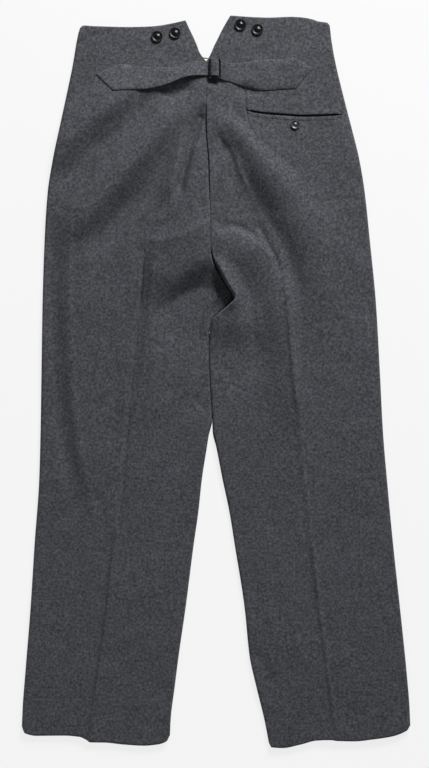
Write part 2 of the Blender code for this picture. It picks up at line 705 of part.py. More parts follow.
def add_pocket():
    """The two jets, each a folded strip along one lip of the hip pocket's mouth."""
    x = np.linspace(POCKET_MOUTH[0].x, POCKET_MOUTH[-1].x, JET_COLUMNS)
    mouth = read(POCKET_MOUTH, x, "y")
    inward = ease((x - x[0]) / JET_TAPER) * ease((x[-1] - x) / JET_TAPER)
    taper = JET_END_WIDTH + (1 - JET_END_WIDTH) * inward

    def floor(x, y):
        return back_height(x, y, "right") + SEAM_GAP

    high = mouth + MOUTH_HALF_GAP
    add_flat_strip("pocket_upper_jet", x, high, high + UPPER_JET_WIDTH * taper, floor, JET_CLOTH, WOOL)
    low = mouth - MOUTH_HALF_GAP
    add_flat_strip("pocket_lower_jet", x, low - LOWER_JET_WIDTH * taper, low, floor, JET_CLOTH, WOOL)


def add_hidden_pieces():
    """Inside the waist: the cotton facings along the front's top edge, and the strip behind the fly."""
    rest = CLOTH + SEAM_GAP
    for side, first, last in FACING_ENDS:
        x = np.linspace(first, last, 9)
        top = read(FRONT_TOP, x, "y") - FACING_BELOW_EDGE
        add_flat_strip(
            f"waist_facing_{side}", x, top - FACING_DEPTH, top, lambda x, y: 0.0 * x + rest, FACING_CLOTH, COTTON
        )
    x = np.linspace(FLY_LEFT, FLY_RIGHT, 3)
    low, high = np.full_like(x, FLY_BOTTOM), np.full_like(x, FLY_TOP)
    add_flat_strip("fly_underlap", x, low, high, lambda x, y: 0.0 * x + rest, CLOTH, WOOL)


def main():
    for leftover in list(bpy.data.objects):
        bpy.data.objects.remove(leftover)
    for side in ("left", "right"):
        add_wall(f"front_{side}", *front_panel(side), WOOL)
    for side in ("left", "right"):
        add_wall(f"back_{side}", *back_panel(side), WOOL)
    add_hidden_pieces()
    add_left_strap()
    add_right_strap()
    add_buckle()
    for button in BUTTONS:
        add_button(button)
    add_pocket()


main()
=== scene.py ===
# %% [markdown]
# # High-backed wool trousers, laid flat with the back up
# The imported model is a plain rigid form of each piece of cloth, with the buttons and the buckle. This lesson
# gives every piece its looks: milled wool with a short nap, creases and seams, glossy buttons, an enamelled
# buckle, and the threads. The first cell loads the model. Nothing else is read from disk.

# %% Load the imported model
from collections import namedtuple

import bpy
import numpy as np
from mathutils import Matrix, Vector


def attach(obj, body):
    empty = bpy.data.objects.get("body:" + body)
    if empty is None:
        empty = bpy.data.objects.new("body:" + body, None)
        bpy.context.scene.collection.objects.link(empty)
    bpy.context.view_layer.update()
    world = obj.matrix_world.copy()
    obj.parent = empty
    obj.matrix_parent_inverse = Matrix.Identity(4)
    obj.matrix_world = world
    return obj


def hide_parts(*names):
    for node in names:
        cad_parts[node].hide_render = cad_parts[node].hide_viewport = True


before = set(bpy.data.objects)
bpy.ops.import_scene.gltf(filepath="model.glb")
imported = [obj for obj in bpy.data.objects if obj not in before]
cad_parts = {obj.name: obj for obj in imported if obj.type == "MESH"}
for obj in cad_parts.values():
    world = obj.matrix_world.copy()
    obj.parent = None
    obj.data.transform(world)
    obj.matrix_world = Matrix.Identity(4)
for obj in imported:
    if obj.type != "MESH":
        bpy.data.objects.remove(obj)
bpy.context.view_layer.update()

MM = 0.001  # sizes and places below are millimetres, and meshes are metres

# %% [markdown]
# ## Camera
# The trousers were photographed from straight above, with the waist at the top. One pixel of the photo is
# 1.5 mm on the table, so the picture's 768 pixels are 1.152 m. A camera 2.2 m up is a usual height for such
# a picture. Its lens follows from the height, the sensor and the length that the picture has to take in.

# %% Camera
PIXEL = 1.5
PICTURE_HEIGHT = 768
VIEW_CENTRE = (-2.4, -4.2)
CAMERA_HEIGHT = 2200.0
CLOTH_LEVEL = 5.0  # the height at which one pixel is PIXEL wide
SENSOR = 36.0

camera_data = bpy.data.cameras.new("overhead_camera")
camera_data.sensor_width = SENSOR
camera_data.lens = SENSOR * (CAMERA_HEIGHT - CLOTH_LEVEL) / (PICTURE_HEIGHT * PIXEL)
camera = bpy.data.objects.new("overhead_camera", camera_data)
camera.location = (VIEW_CENTRE[0] * MM, VIEW_CENTRE[1] * MM, CAMERA_HEIGHT * MM)
bpy.context.scene.collection.objects.link(camera)
bpy.context.scene.camera = camera
print(f"lens {camera_data.lens:.1f} mm")

# %% [markdown]
# ## Light
# A folded or creased cloth shows its form only when the light comes in low from one side. In the photo the
# slopes that face the waist and the right are bright, so the main softbox stands beyond the waist, at the
# upper right, 28 degrees above the table. A weak softbox at the hems and a weak dome keep the shadows grey.

# %% Softboxes and dome
def hex_colour(code):
    """Linear colour of an sRGB code: c / 12.92 for dark channels, ((c + 0.055) / 1.055) ** 2.4 for others."""
    channels = np.array([int(code[i : i + 2], 16) for i in (1, 3, 5)]) / 255.0
    linear = np.where(channels <= 0.04045, channels / 12.92, ((channels + 0.055) / 1.055) ** 2.4)
    return (*linear.tolist(), 1.0)


def add_softbox(name, place, aim, size, watts):
    """A rectangular area light at place that faces aim, both in metres."""
    light = bpy.data.lights.new(name, "AREA")
    light.shape = "RECTANGLE"
    light.size, light.size_y = size
    light.energy = watts
    lamp = bpy.data.objects.new(name, light)
    lamp.location = place
    lamp.rotation_euler = (Vector(aim) - Vector(place)).to_track_quat("-Z", "Y").to_euler()
    bpy.context.scene.collection.objects.link(lamp)


add_softbox("waist_softbox", place=(1.05, 2.9, 1.6), aim=(0.0, 0.1, 0.0), size=(1.3, 0.95), watts=202.0)
add_softbox("hem_fill", place=(-0.9, -1.6, 1.0), aim=(-0.1, -0.45, 0.0), size=(1.2, 0.8), watts=9.0)
dome = bpy.data.worlds.new("pale_studio")
bpy.context.scene.world = dome
dome.use_nodes = True
dome.node_tree.nodes["Background"].inputs["Color"].default_value = hex_colour("#f6f8fc")
dome.node_tree.nodes["Background"].inputs["Strength"].default_value = 0.12
bpy.context.scene.view_settings.view_transform = "Standard"  # white stays white, as in the photo
print("lights", [light.name for light in bpy.data.lights])

# %% [markdown]
# ## A helper for materials
# Every finish here is a Principled shader with a few texture nodes. One small function adds a node. Its
# inputs are values, or the outputs of nodes before it. Each is named, or numbered where a node has more than
# one of a name. Noise stays near its middle, so a Map Range node after it stretches the part that is used.

# %% Node helper
def add_node(tree, kind, inputs, **settings):
    """Adds a shader node with its settings. Each of its inputs is given a value, or linked to an output."""
    node = tree.nodes.new("ShaderNode" + kind)
    for key, value in settings.items():
        setattr(node, key, value)
    for key, value in inputs.items():
        if isinstance(value, bpy.types.NodeSocket):
            tree.links.new(value, node.inputs[key])
        else:
            node.inputs[key].default_value = value
    return node


def new_finish(name, surface):
    """A material with the values of surface on its shader's own sockets, and its Object coordinates."""
    made = bpy.data.materials.new(name)
    made.use_nodes = True
    shader = made.node_tree.nodes["Principled BSDF"]
    for key, value in surface.items():
        shader.inputs[key].default_value = value
    place = add_node(made.node_tree, "TexCoord", {}).outputs["Object"]
    return made, made.node_tree, shader, place


def per_metre(spacing):
    """The Scale of a texture whose unit is spacing millimetres. A noise's marks are about half as wide."""
    return 1.0 / (spacing * MM)


# %% [markdown]
# ## The board under the trousers
# The photo's ground is plain and nearly white. A white board would throw much light onto the cloth's edges,
# so this one is a dull grey paint that gives light of its own, which makes it nearly white to the eye.

# %% Matt board
FLOOR_HALF = 6.0
FLOOR_BELOW = 0.0003
BOARD_SURFACE = {
    "Base Color": hex_colour("#616161"), "Roughness": 0.9, "Specular IOR Level": 0.1,
    "Emission Color": hex_colour("#ffffff"), "Emission Strength": 0.80,
}
floor_corners = [(x * FLOOR_HALF, y * FLOOR_HALF) for x, y in ((-1, -1), (1, -1), (1, 1), (-1, 1))]
floor_mesh = bpy.data.meshes.new("white_board")
floor_mesh.from_pydata([(x, y, -FLOOR_BELOW) for x, y in floor_corners], [], [(0, 1, 2, 3)])
floor_mesh.materials.append(new_finish("matt_white_board", BOARD_SURFACE)[0])
floor = bpy.data.objects.new("white_board", floor_mesh)
bpy.context.scene.collection.objects.link(floor)
print("board", 2 * FLOOR_HALF, "m wide")

# %% [markdown]
# ## Milled wool
# The cloth is woven from yarn spun of dark blue-grey and pale fibres, then milled: washed and beaten until it
# shrinks and its surface felts over the weave. So the eye sees a soft dark ground with pale and near-black
# flecks, a slow mottling, almost no thread lines, and a short nap that catches the light at its edges. The
# nap is a fine bump and the shader's sheen. Real flecks are half a millimetre across and real yarn 1.5 mm.
# Here the flecks are about 2 mm and the yarn 3 mm, because a pixel of the picture is 1.5 mm. Noise makes
# them, because it never repeats along a panel a metre long.

# %% The wool's colour
Fibre = namedtuple("Fibre", "colour spacing detail roughness low high most")
WOOL_DARK = "#2b2c2f"
WOOL_FIBRES = (
    Fibre("#3e3f42", 4.6, 4.0, 0.62, 0.34, 0.66, 1.0),  # mid grey
    Fibre("#42424c", 5.0, 2.0, 0.50, 0.45, 0.75, 0.55),  # a violet cast
    Fibre("#626468", 3.6, 2.0, 0.60, 0.40, 0.76, 0.66),  # pale flecks
)
MOTTLE, MOTTLE_SWING = 16.0, 0.10


def wool_colour(tree, place, paler):
    """Dark fibres, with the others mixed in by a noise each, times a mottling that swings round paler."""
    ground = hex_colour(WOOL_DARK)
    for fibre in WOOL_FIBRES:
        marks = {"Vector": place, "Scale": per_metre(fibre.spacing)}
        marks |= {"Detail": fibre.detail, "Roughness": fibre.roughness}
        flecks = add_node(tree, "TexNoise", marks).outputs["Fac"]
        stretch = {"Value": flecks, "From Min": fibre.low, "From Max": fibre.high, "To Max": fibre.most}
        share = add_node(tree, "MapRange", stretch).outputs["Result"]
        layers = {0: share, 6: ground, 7: hex_colour(fibre.colour)}
        ground = add_node(tree, "Mix", layers, data_type="RGBA").outputs[2]
    clouds = {"Vector": place, "Scale": per_metre(MOTTLE), "Detail": 3.0, "Roughness": 0.6}
    swing = {
        "Value": add_node(tree, "TexNoise", clouds).outputs["Fac"], "From Min": 0.3, "From Max": 0.7,
        "To Min": paler * (1.0 - MOTTLE_SWING), "To Max": paler * (1.0 + MOTTLE_SWING),
    }
    mottle = add_node(tree, "MapRange", swing).outputs["Result"]
    shade = add_node(tree, "CombineColor", {"Red": mottle, "Green": mottle, "Blue": mottle}).outputs["Color"]
    shaded = {0: 1.0, 6: ground, 7: shade}
    return add_node(tree, "Mix", shaded, data_type="RGBA", blend_type="MULTIPLY").outputs[2]


print("wool fibres", WOOL_DARK, [fibre.colour for fibre in WOOL_FIBRES])

# %% The wool's nap
Bumps = namedtuple("Bumps", "kind pattern depth strength")
YARN, LUMP, NAP = 2.97, 7.0, 2.4
WAVE_BAND = 0.1 * np.pi  # a wave texture of scale 1 has a band every 0.314 of its unit
WOOL_SURFACE = {
    "Roughness": 0.92, "Specular IOR Level": 0.18,
    "Sheen Weight": 0.10, "Sheen Roughness": 0.55, "Sheen Tint": hex_colour("#c9ccd6"),
}


def wool_relief(tree, place):
    """A normal with the bumps of lumps, yarn and nap, each on top of the one before."""
    yarn = {"Vector": place, "Scale": WAVE_BAND * per_metre(YARN), "Distortion": 3.0, "Detail": 2.0}
    lumps = {"Vector": place, "Scale": per_metre(LUMP)}
    nap = {"Vector": place, "Scale": per_metre(NAP), "Detail": 4.0, "Roughness": 0.7}
    layers = (
        Bumps("TexNoise", lumps, 0.5, 0.35), Bumps("TexWave", yarn, 0.12, 0.3),
        Bumps("TexNoise", nap, 0.45, 0.6),
    )
    normal = None
    for layer in layers:
        height = add_node(tree, layer.kind, layer.pattern).outputs["Fac"]
        relief = {"Height": height, "Distance": layer.depth * MM, "Strength": layer.strength}
        relief |= {"Normal": normal} if normal else {}
        normal = add_node(tree, "Bump", relief).outputs["Normal"]
    return normal


def make_wool(name, paler):
    """Milled wool, paler times as bright as its fibres. Above 1, paler is painted light: a lit copy of the
    same wool.
    """
    made, tree, shader, place = new_finish(name, WOOL_SURFACE)
    tree.links.new(wool_colour(tree, place, paler), shader.inputs["Base Color"])
    tree.links.new(wool_relief(tree, place), shader.inputs["Normal"])
    return made


wool = make_wool("milled_wool_melange", 1.0)
# The left strap's wool is painted light: the same wool drawn 1.14 times as bright, for the light its face
# catches.
strap_wool_painted_lighter = make_wool("milled_wool_painted_lighter", 1.14)
print("wool", wool.name, "with", len(wool.node_tree.nodes), "nodes")

# %% [markdown]
# ## Cotton twill
# The front's waist is faced inside with unbleached cotton twill. The hip pocket's bag is cotton painted near
# black: painted shade, for the deep shadow in the pocket's mouth.
# The eye sees fine diagonal ribs, and slubs where the yarn is thicker. Real ribs are 1 mm apart, and these
# 2.8 mm, so that they show.

# %% Cotton twill
RIB, SLUB = 2.8, 3.0
DIAGONAL_BAND = WAVE_BAND * np.sqrt(2.0)  # the same on a level surface where the bands are diagonal


def make_cotton(name, colour, slub_colour):
    """A cotton of two yarn colours, mixed by the share of slubs, with diagonal ribs as bumps RIB apart."""
    made, tree, shader, place = new_finish(name, {"Roughness": 0.85, "Specular IOR Level": 0.2})
    marks = {"Vector": place, "Scale": per_metre(SLUB), "Detail": 3.0, "Roughness": 0.5}
    slubs = add_node(tree, "TexNoise", marks).outputs["Fac"]
    share = add_node(tree, "MapRange", {"Value": slubs, "From Min": 0.35, "From Max": 0.7}).outputs["Result"]
    yarns = {0: share, 6: hex_colour(colour), 7: hex_colour(slub_colour)}
    tree.links.new(add_node(tree, "Mix", yarns, data_type="RGBA").outputs[2], shader.inputs["Base Color"])
    bands = {"Vector": place, "Scale": DIAGONAL_BAND * per_metre(RIB)}
    ribs = add_node(tree, "TexWave", bands, bands_direction="DIAGONAL").outputs["Fac"]
    relief = {"Height": ribs, "Distance": 0.15 * MM, "Strength": 0.5}
    tree.links.new(add_node(tree, "Bump", relief).outputs["Normal"], shader.inputs["Normal"])
    return made


cream_twill = make_cotton("unbleached_cotton_twill", "#d9d5c3", "#c5bfa8")
# Near black: painted shade, standing for the deep shadow in the pocket's mouth.
black_cotton_painted_shade = make_cotton("pocketing_painted_black_shade", "#0c0c0d", "#151516")
print("cotton", cream_twill.name, black_cotton_painted_shade.name)

# %% [markdown]
# ## Horn-black buttons
# The buttons are pressed from a black compound and polished. Their IOR is that of such a moulded resin, 1.54.
# They reflect the softbox as a soft spot, with faint rubbing marks in it. The pocket's button is rubbed more,
# so it reflects over more of its face. The rims are rubbed the most, which the attribute rim marks.

# %% Polished black
RUB_MARK, MOULD_WAVE = 1.2, 4.0
RIM_RUBBED = 0.45


def make_polished_black(name, reflection, smoothest, roughest):
    """Roughness goes from smoothest to roughest by a noise, plus RIM_RUBBED times the attribute rim."""
    surface = {"Base Color": hex_colour("#0b0b0c"), "IOR": 1.54, "Specular IOR Level": reflection}
    made, tree, shader, place = new_finish(name, surface)
    marks = {"Vector": place, "Scale": per_metre(RUB_MARK), "Detail": 4.0, "Roughness": 0.7}
    rubs = add_node(tree, "TexNoise", marks).outputs["Fac"]
    stretch = {"Value": rubs, "From Min": 0.35, "From Max": 0.75, "To Min": smoothest, "To Max": roughest}
    rubbed = add_node(tree, "MapRange", stretch).outputs["Result"]
    rim = add_node(tree, "Attribute", {}, attribute_name="rim").outputs["Fac"]
    matt = add_node(tree, "Math", {0: rim, 1: RIM_RUBBED, 2: rubbed}, operation="MULTIPLY_ADD")
    tree.links.new(matt.outputs[0], shader.inputs["Roughness"])
    waves = add_node(tree, "TexNoise", {"Vector": place, "Scale": per_metre(MOULD_WAVE)}).outputs["Fac"]
    relief = {"Height": waves, "Distance": 0.05 * MM, "Strength": 0.5}
    tree.links.new(add_node(tree, "Bump", relief).outputs["Normal"], shader.inputs["Normal"])
    return made


polished_black = make_polished_black("polished_black_button", 0.34, 0.25, 0.31)
rubbed_black = make_polished_black("rubbed_black_button", 0.9, 0.34, 0.46)
print("buttons", polished_black.name, rubbed_black.name)

# %% [markdown]
# ## Enamelled steel
# The buckle is steel wire with a baked black enamel, which the eye sees as a dull black. Where it rubs on its
# two lower corners, the enamel is chipped and grey steel shows. The attribute wear marks those places.

# %% Enamelled steel
CHIP, ENAMEL_WAVE = 0.9, 1.5


def make_enamelled_steel(name):
    """Bare steel where the attribute wear times a fine noise is high, and enamel elsewhere."""
    made, tree, shader, place = new_finish(name, {"Specular IOR Level": 0.12})
    wear = add_node(tree, "Attribute", {}, attribute_name="wear").outputs["Fac"]
    marks = {"Vector": place, "Scale": per_metre(CHIP), "Detail": 3.0, "Roughness": 0.7}
    chips = add_node(tree, "TexNoise", marks).outputs["Fac"]
    worn = add_node(tree, "Math", {0: wear, 1: chips}, operation="MULTIPLY").outputs[0]
    bare = add_node(tree, "MapRange", {"Value": worn, "From Min": 0.34, "From Max": 0.46}).outputs["Result"]
    coats = {0: bare, 6: hex_colour("#0b0b0d"), 7: hex_colour("#8f9296")}
    rough = add_node(tree, "MapRange", {"Value": bare, "To Min": 0.65, "To Max": 0.42}).outputs["Result"]
    tree.links.new(add_node(tree, "Mix", coats, data_type="RGBA").outputs[2], shader.inputs["Base Color"])
    tree.links.new(bare, shader.inputs["Metallic"])
    tree.links.new(rough, shader.inputs["Roughness"])
    waves = add_node(tree, "TexNoise", {"Vector": place, "Scale": per_metre(ENAMEL_WAVE)}).outputs["Fac"]
    relief = {"Height": waves, "Distance": 0.05 * MM, "Strength": 0.5}
    tree.links.new(add_node(tree, "Bump", relief).outputs["Normal"], shader.inputs["Normal"])
    return made


enamelled_steel = make_enamelled_steel("black_enamelled_steel")
print("steel", enamelled_steel.name)

# %% [markdown]
# ## Sewing thread
# Cotton thread is spun of strands twisted round each other, and the eye sees a dull line with slanting marks.
# Real strands are 0.4 mm apart, and these 1.1 mm, so that they show in a close view.

# %% Thread
STRAND = 1.12


def make_thread(name, colour, strand_colour):
    """Slanting bands in two shades, which are bumps too."""
    made, tree, shader, place = new_finish(name, {"Roughness": 0.7})
    bands = {"Vector": place, "Scale": DIAGONAL_BAND * per_metre(STRAND)}
    strands = add_node(tree, "TexWave", bands, bands_direction="DIAGONAL").outputs["Fac"]
    shades = {0: strands, 6: hex_colour(colour), 7: hex_colour(strand_colour)}
    tree.links.new(add_node(tree, "Mix", shades, data_type="RGBA").outputs[2], shader.inputs["Base Color"])
    relief = {"Height": strands, "Distance": 0.08 * MM, "Strength": 0.6}
    tree.links.new(add_node(tree, "Bump", relief).outputs["Normal"], shader.inputs["Normal"])
    return made


grey_thread = make_thread("dark_grey_thread", "#24252a", "#3d3e45")
black_thread = make_thread("black_thread", "#0e0e10", "#1d1d20")
print("finishes", [m.name for m in bpy.data.materials if m.users])

# %% [markdown]
# ## The cut of the trousers
# A trouser panel is a long piece of cloth with a side seam, an inside leg, a waist edge and a hem. The tables
# below are those edges where the trousers lie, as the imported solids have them. They hold few points, and a
# smooth curve that never swings past its points joins them.

# %% Cloth, seams and edges
CLOTH = 1.8
HEM_CLOTH = 2.8
HEM_DEPTH, HEM_STEP = 42.0, 8.0
SEAM_GAP = 0.3
FACING_CLOTH = 1.0
STRAP_CLOTH, LEFT_STRAP_CLOTH = 1.6, 1.8
JET_CLOTH = 1.2

Swell = namedtuple("Swell", "height centre reach")
LEG_HEIGHT = 7.4
HEM_FLATTER, HEM_FLAT_FROM, HEM_FLAT_REACH = 1.3, -430.0, 110.0
SEAT_SWELL = Swell(10.5, (-12.0, 203.0), (95.0, 82.0))
TORSO_SWELL = Swell(8.0, (-5.0, 315.0), (180.0, 92.0))
CINCH_SWELL = Swell(2.5, (-12.0, 435.0), (85.0, 60.0))
WAIST_HEIGHT, WAIST_SLOPE = 5.6, 45.0
PEAK_HEIGHT, PEAK_SLOPE, PEAK_CLEARANCE = 2.6, 50.0, 0.4
LAP = 2.0

EDGE_ROLL = 4.0
FRONT_ROLL_INSIDE = 0.25
SEAM_GROOVE, SEAM_GROOVE_ANGLE, FLAT_EDGE_ANGLE = 0.5, 0.45, 0.02
BACK_FORK_Y, BACK_FORK_LENGTH = 200.0, 40.0
FRONT_FORK_Y, FRONT_FORK_LENGTH = 110.0, 38.0
FULL_TURN_DOWN = 0.5 * np.pi
FORK_TIP_Y = 124.8
END_SHAPE_REACH = 0.12


def rows_of(kind, rows):
    """Named rows from plain ones."""
    return tuple(kind(*row) for row in rows)


Side = namedtuple("Side", "y left right")
SIDE_SEAMS = rows_of(Side, (
    (534.0, -204.4, 170.7), (509.0, -209.7, 173.7), (479.0, -214.5, 179.1), (428.0, -225.0, 191.3),
    (380.0, -235.2, 203.6), (332.0, -245.3, 215.3), (284.0, -252.9, 223.2), (212.0, -257.6, 230.9),
    (116.0, -260.7, 240.2), (20.0, -262.2, 245.7), (-76.0, -263.7, 250.7), (-148.0, -265.7, 256.7),
    (-244.0, -272.6, 265.8), (-340.0, -278.7, 276.2), (-436.0, -286.4, 286.1), (-493.0, -290.7, 290.7),
    (-517.0, -291.5, 291.5),
))
NOTCH_WALLS = rows_of(Side, (
    (548.9, -49.0, 20.9), (541.5, -45.6, 16.5), (526.8, -38.9, 8.3), (514.8, -33.2, 2.6),
    (504.3, -28.7, -2.7), (493.8, -24.9, -7.1), (484.2, -18.5, -11.7),
))
INSIDE_LEGS = rows_of(Side, (
    (-76.2, -9.9, -5.3), (-100.2, -13.8, 0.3), (-148.2, -21.3, 9.6), (-196.2, -26.4, 19.8),
    (-244.2, -33.3, 27.5), (-340.2, -45.6, 42.6), (-412.2, -56.0, 50.0), (-460.2, -62.1, 60.5),
    (-508.2, -68.1, 72.3), (-542.0, -69.4, 78.8),
))
Seam = namedtuple("Seam", "y x")
SEAT_SEAM = rows_of(Seam, (
    (479.5, -14.9), (447.0, -14.4), (377.0, -14.1), (326.0, -10.2), (242.0, -8.4), (196.0, -8.0),
    (184.4, -5.9), (163.8, 4.8), (145.4, 14.9), (129.3, 24.8), (FORK_TIP_Y, 26.0), (113.3, 16.7),
    (104.1, 5.3), (91.4, -6.3), (71.9, -9.8), (35.0, -10.8), (-10.8, -8.6), (-59.0, -5.9),
))
FRONT_CENTRE_X = -8.0
FRONT_HEM_SHORTER = 0.6
FRONT_SEAM = rows_of(Seam, (
    (484.0, -7.6), (110.0, -7.6), (84.0, -10.9), (71.9, -9.8), (35.0, -10.8), (-10.8, -8.6), (-59.0, -5.9),
))
Edge = namedtuple("Edge", "x y")
LEFT_TOP = rows_of(Edge, (
    (-208.0, 522.0), (-206.7, 527.8), (-198.2, 533.0), (-181.7, 532.0), (-134.1, 531.0), (-107.3, 531.6),
    (-88.2, 533.0), (-72.8, 535.5), (-45.6, 541.5),
))
RIGHT_TOP = rows_of(Edge, (
    (20.9, 548.9), (58.4, 546.3), (79.4, 545.7), (111.9, 546.5), (127.4, 545.4), (143.0, 542.6),
    (153.2, 539.1), (167.0, 536.9), (170.4, 534.0),
))
FRONT_TOP = rows_of(Edge, (
    (-207.0, 525.0), (-150.0, 521.0), (-100.0, 509.0), (-50.0, 492.0), (-8.0, 484.0), (30.0, 489.0),
    (80.0, 506.0), (130.0, 524.0), (170.0, 531.0),
))
LEFT_HEM = rows_of(Edge, (
    (-291.5, -518.0), (-287.1, -527.0), (-269.0, -531.0), (-228.8, -530.6), (-204.8, -532.5),
    (-194.7, -537.0), (-188.6, -540.8), (-168.6, -541.0), (-138.5, -544.0), (-108.3, -545.7),
    (-88.2, -544.0), (-74.1, -539.0), (-69.2, -531.0),
))
RIGHT_HEM = rows_of(Edge, (
    (78.9, -542.0), (82.8, -548.1), (99.9, -549.2), (125.9, -544.2), (149.9, -538.2), (171.8, -537.2),
    (181.8, -538.5), (205.8, -539.1), (235.8, -536.1), (263.9, -531.8), (285.8, -523.2), (291.5, -516.2),
))
print("edges", len(SIDE_SEAMS) + len(SEAT_SEAM) + len(INSIDE_LEGS), "rows")

# %% [markdown]
# ## Curves through the tables
# Each edge is read at any place by a cubic curve. Its slope at a point is the harmonic mean of the slopes on
# both sides, so a straight run stays straight and no bump appears that the table doesn't have.

# %% Reading the tables
def ease(amount):
    """0 below 0, 1 above 1, and 3a^2 - 2a^3 between."""
    amount = np.clip(amount, 0.0, 1.0)
    return amount * amount * (3.0 - 2.0 * amount)


def through(at, known_at, known):
    """A cubic curve through the known values, with the harmonic mean of the two slopes at each."""
    order = np.argsort(known_at)
    x = np.asarray(known_at, float)[order]
    y = np.asarray(known, float)[order]
    step = np.diff(x)
    slope = np.diff(y) / step
    tangent = np.zeros(len(x))
    product = slope[:-1] * slope[1:]
    total = np.where(product > 0, slope[:-1] + slope[1:], 1.0)
    tangent[1:-1] = np.where(product > 0, 2.0 * product / total, 0.0)
    tangent[0], tangent[-1] = slope[0], slope[-1]
    at = np.clip(at, x[0], x[-1])
    i = np.clip(np.searchsorted(x, at) - 1, 0, len(x) - 2)
    t = (at - x[i]) / step[i]
    rise = y[i] * (1 + 2 * t) * (1 - t) ** 2 + y[i + 1] * t * t * (3 - 2 * t)
    lean = step[i] * (tangent[i] * t * (1 - t) ** 2 + tangent[i + 1] * t * t * (t - 1))
    return rise + lean


def read(table, at, column):
    """A table's column at any place along its first column."""
    return through(at, [row[0] for row in table], [getattr(row, column) for row in table])


# %% [markdown]
# ## Folds and creases
# Cloth that lies flat still remembers how it hung and how it was pressed. Pull at the cinch strap throws long
# diagonal folds across the seat, the crotch falls into a hollow, and each leg keeps its pressed crease. A
# fold here is a soft brush drawn along a smooth curve: a row of bells, close together, that add up to a ridge
# or trough with its own width on each side. It fades at both ends. Left means left of someone who walks along
# it. The wide folds come first, and the narrow creases follow.

# %% Smooth curves
def along_curve(points, count):
    """count rows, evenly far along the chords, on a smooth curve through rows of points. Its pieces are
    cubics, and its slope at a row is the mean of both chords' slopes there, where the nearer weighs more."""
    spread = points.reshape(len(points), -1)
    chord = np.concatenate([[0.0], np.cumsum(np.linalg.norm(np.diff(spread, axis=0), axis=1))])
    at = np.linspace(0.0, chord[-1], count)
    slope = np.gradient(spread, chord, axis=0)
    i = np.clip(np.searchsorted(chord, at) - 1, 0, len(chord) - 2)
    step = (chord[i + 1] - chord[i])[:, None]
    t = (at - chord[i])[:, None] / step
    rise = spread[i] * (1 + 2 * t) * (1 - t) ** 2 + spread[i + 1] * t * t * (3 - 2 * t)
    lean = step * (slope[i] * t * (1 - t) ** 2 + slope[i + 1] * t * t * (t - 1))
    return (rise + lean).reshape(count, *points.shape[1:])


# %% The wide folds
Fold = namedtuple("Fold", "points left_width right_width height fade", defaults=(26.0,))
LEFT_FOLDS = (
    # the long folds from the cinch down to the side
    Fold(((-90, 428), (-130, 389), (-157, 361), (-189, 341), (-213, 314), (-238, 286)), 30, 19, -6.6, 14),
    Fold(((-123, 442), (-159, 413), (-194, 391), (-223, 360), (-246, 325)), 20, 28, 8.6),
    Fold(
        ((-60, 408), (-83, 374), (-111, 343), (-142, 311), (-168, 282), (-190, 252), (-214, 222)),
        22, 28, 13.0, 14,
    ),
    Fold(
        ((-44, 402), (-66, 355), (-85, 314), (-104, 281), (-134, 255), (-158, 226), (-188, 196)),
        16, 22, -8.6, 16,
    ),
    Fold(((-44, 412), (-51, 380), (-58, 350), (-66, 305), (-75, 274)), 9, 14, 6.5, 14),
    # the short steep ones beside the seat seam
    Fold(((-20, 406), (-33, 370), (-42, 336), (-50, 304), (-59, 276)), 6.5, 6, -9.0, 18),
    Fold(((-19, 398), (-26, 378), (-33, 354)), 9, 7, -4.5, 20),
    Fold(((-15, 396), (-25, 372), (-32, 346), (-40, 310), (-46, 280)), 10, 7, 4.0, 18),
    Fold(((-13, 413), (-13.5, 380), (-11.5, 345), (-9.5, 300), (-8.4, 250)), 3, 4, -3.5, 30),
    # the lip over the crotch, the hollow under it, and the fold that closes the hollow
    Fold(((-106, 207), (-90, 208), (-70, 210), (-48, 216), (-30, 225), (-8, 236)), 6, 17, 2.3, 12),
    Fold(((-66, 222), (-34, 228), (-10, 238)), 34, 24, 3.0, 16),
    Fold(((12, 138), (-12, 133), (-38, 118), (-62, 103), (-84, 90)), 84, 37, -14.0, 26),
    Fold(((2, 162), (10, 148), (18, 134), (22, 122), (8, 104), (-4, 90)), 10, 11, -9.5, 8),
    Fold(((0, 202), (-28, 184), (-54, 158), (-78, 132)), 25, 34, 9.4, 20),
    Fold(((-2, 140), (-9, 118), (-14, 94), (-17, 60)), 7, 8, 4.5, 24),
    Fold(((-102, 190), (-108, 120), (-114, 40), (-124, -60)), 46, 46, 4.6, 60),
    # the long soft fold beside the side seam
    Fold(
        ((-244, 262), (-245, 150), (-244, 90), (-241, 20), (-235, -50), (-226, -110), (-208, -206)),
        15, 10, -3.6, 110,
    ),
    Fold(
        ((-214, 262), (-216, 150), (-215, 90), (-212, 20), (-206, -50), (-197, -110), (-178, -206)),
        55, 17, 4.0, 120,
    ),
    # the hollow under the strap
    Fold(((-84, 434), (-68, 431), (-54, 436), (-41, 445)), 10, 9, -8.5, 6),
)
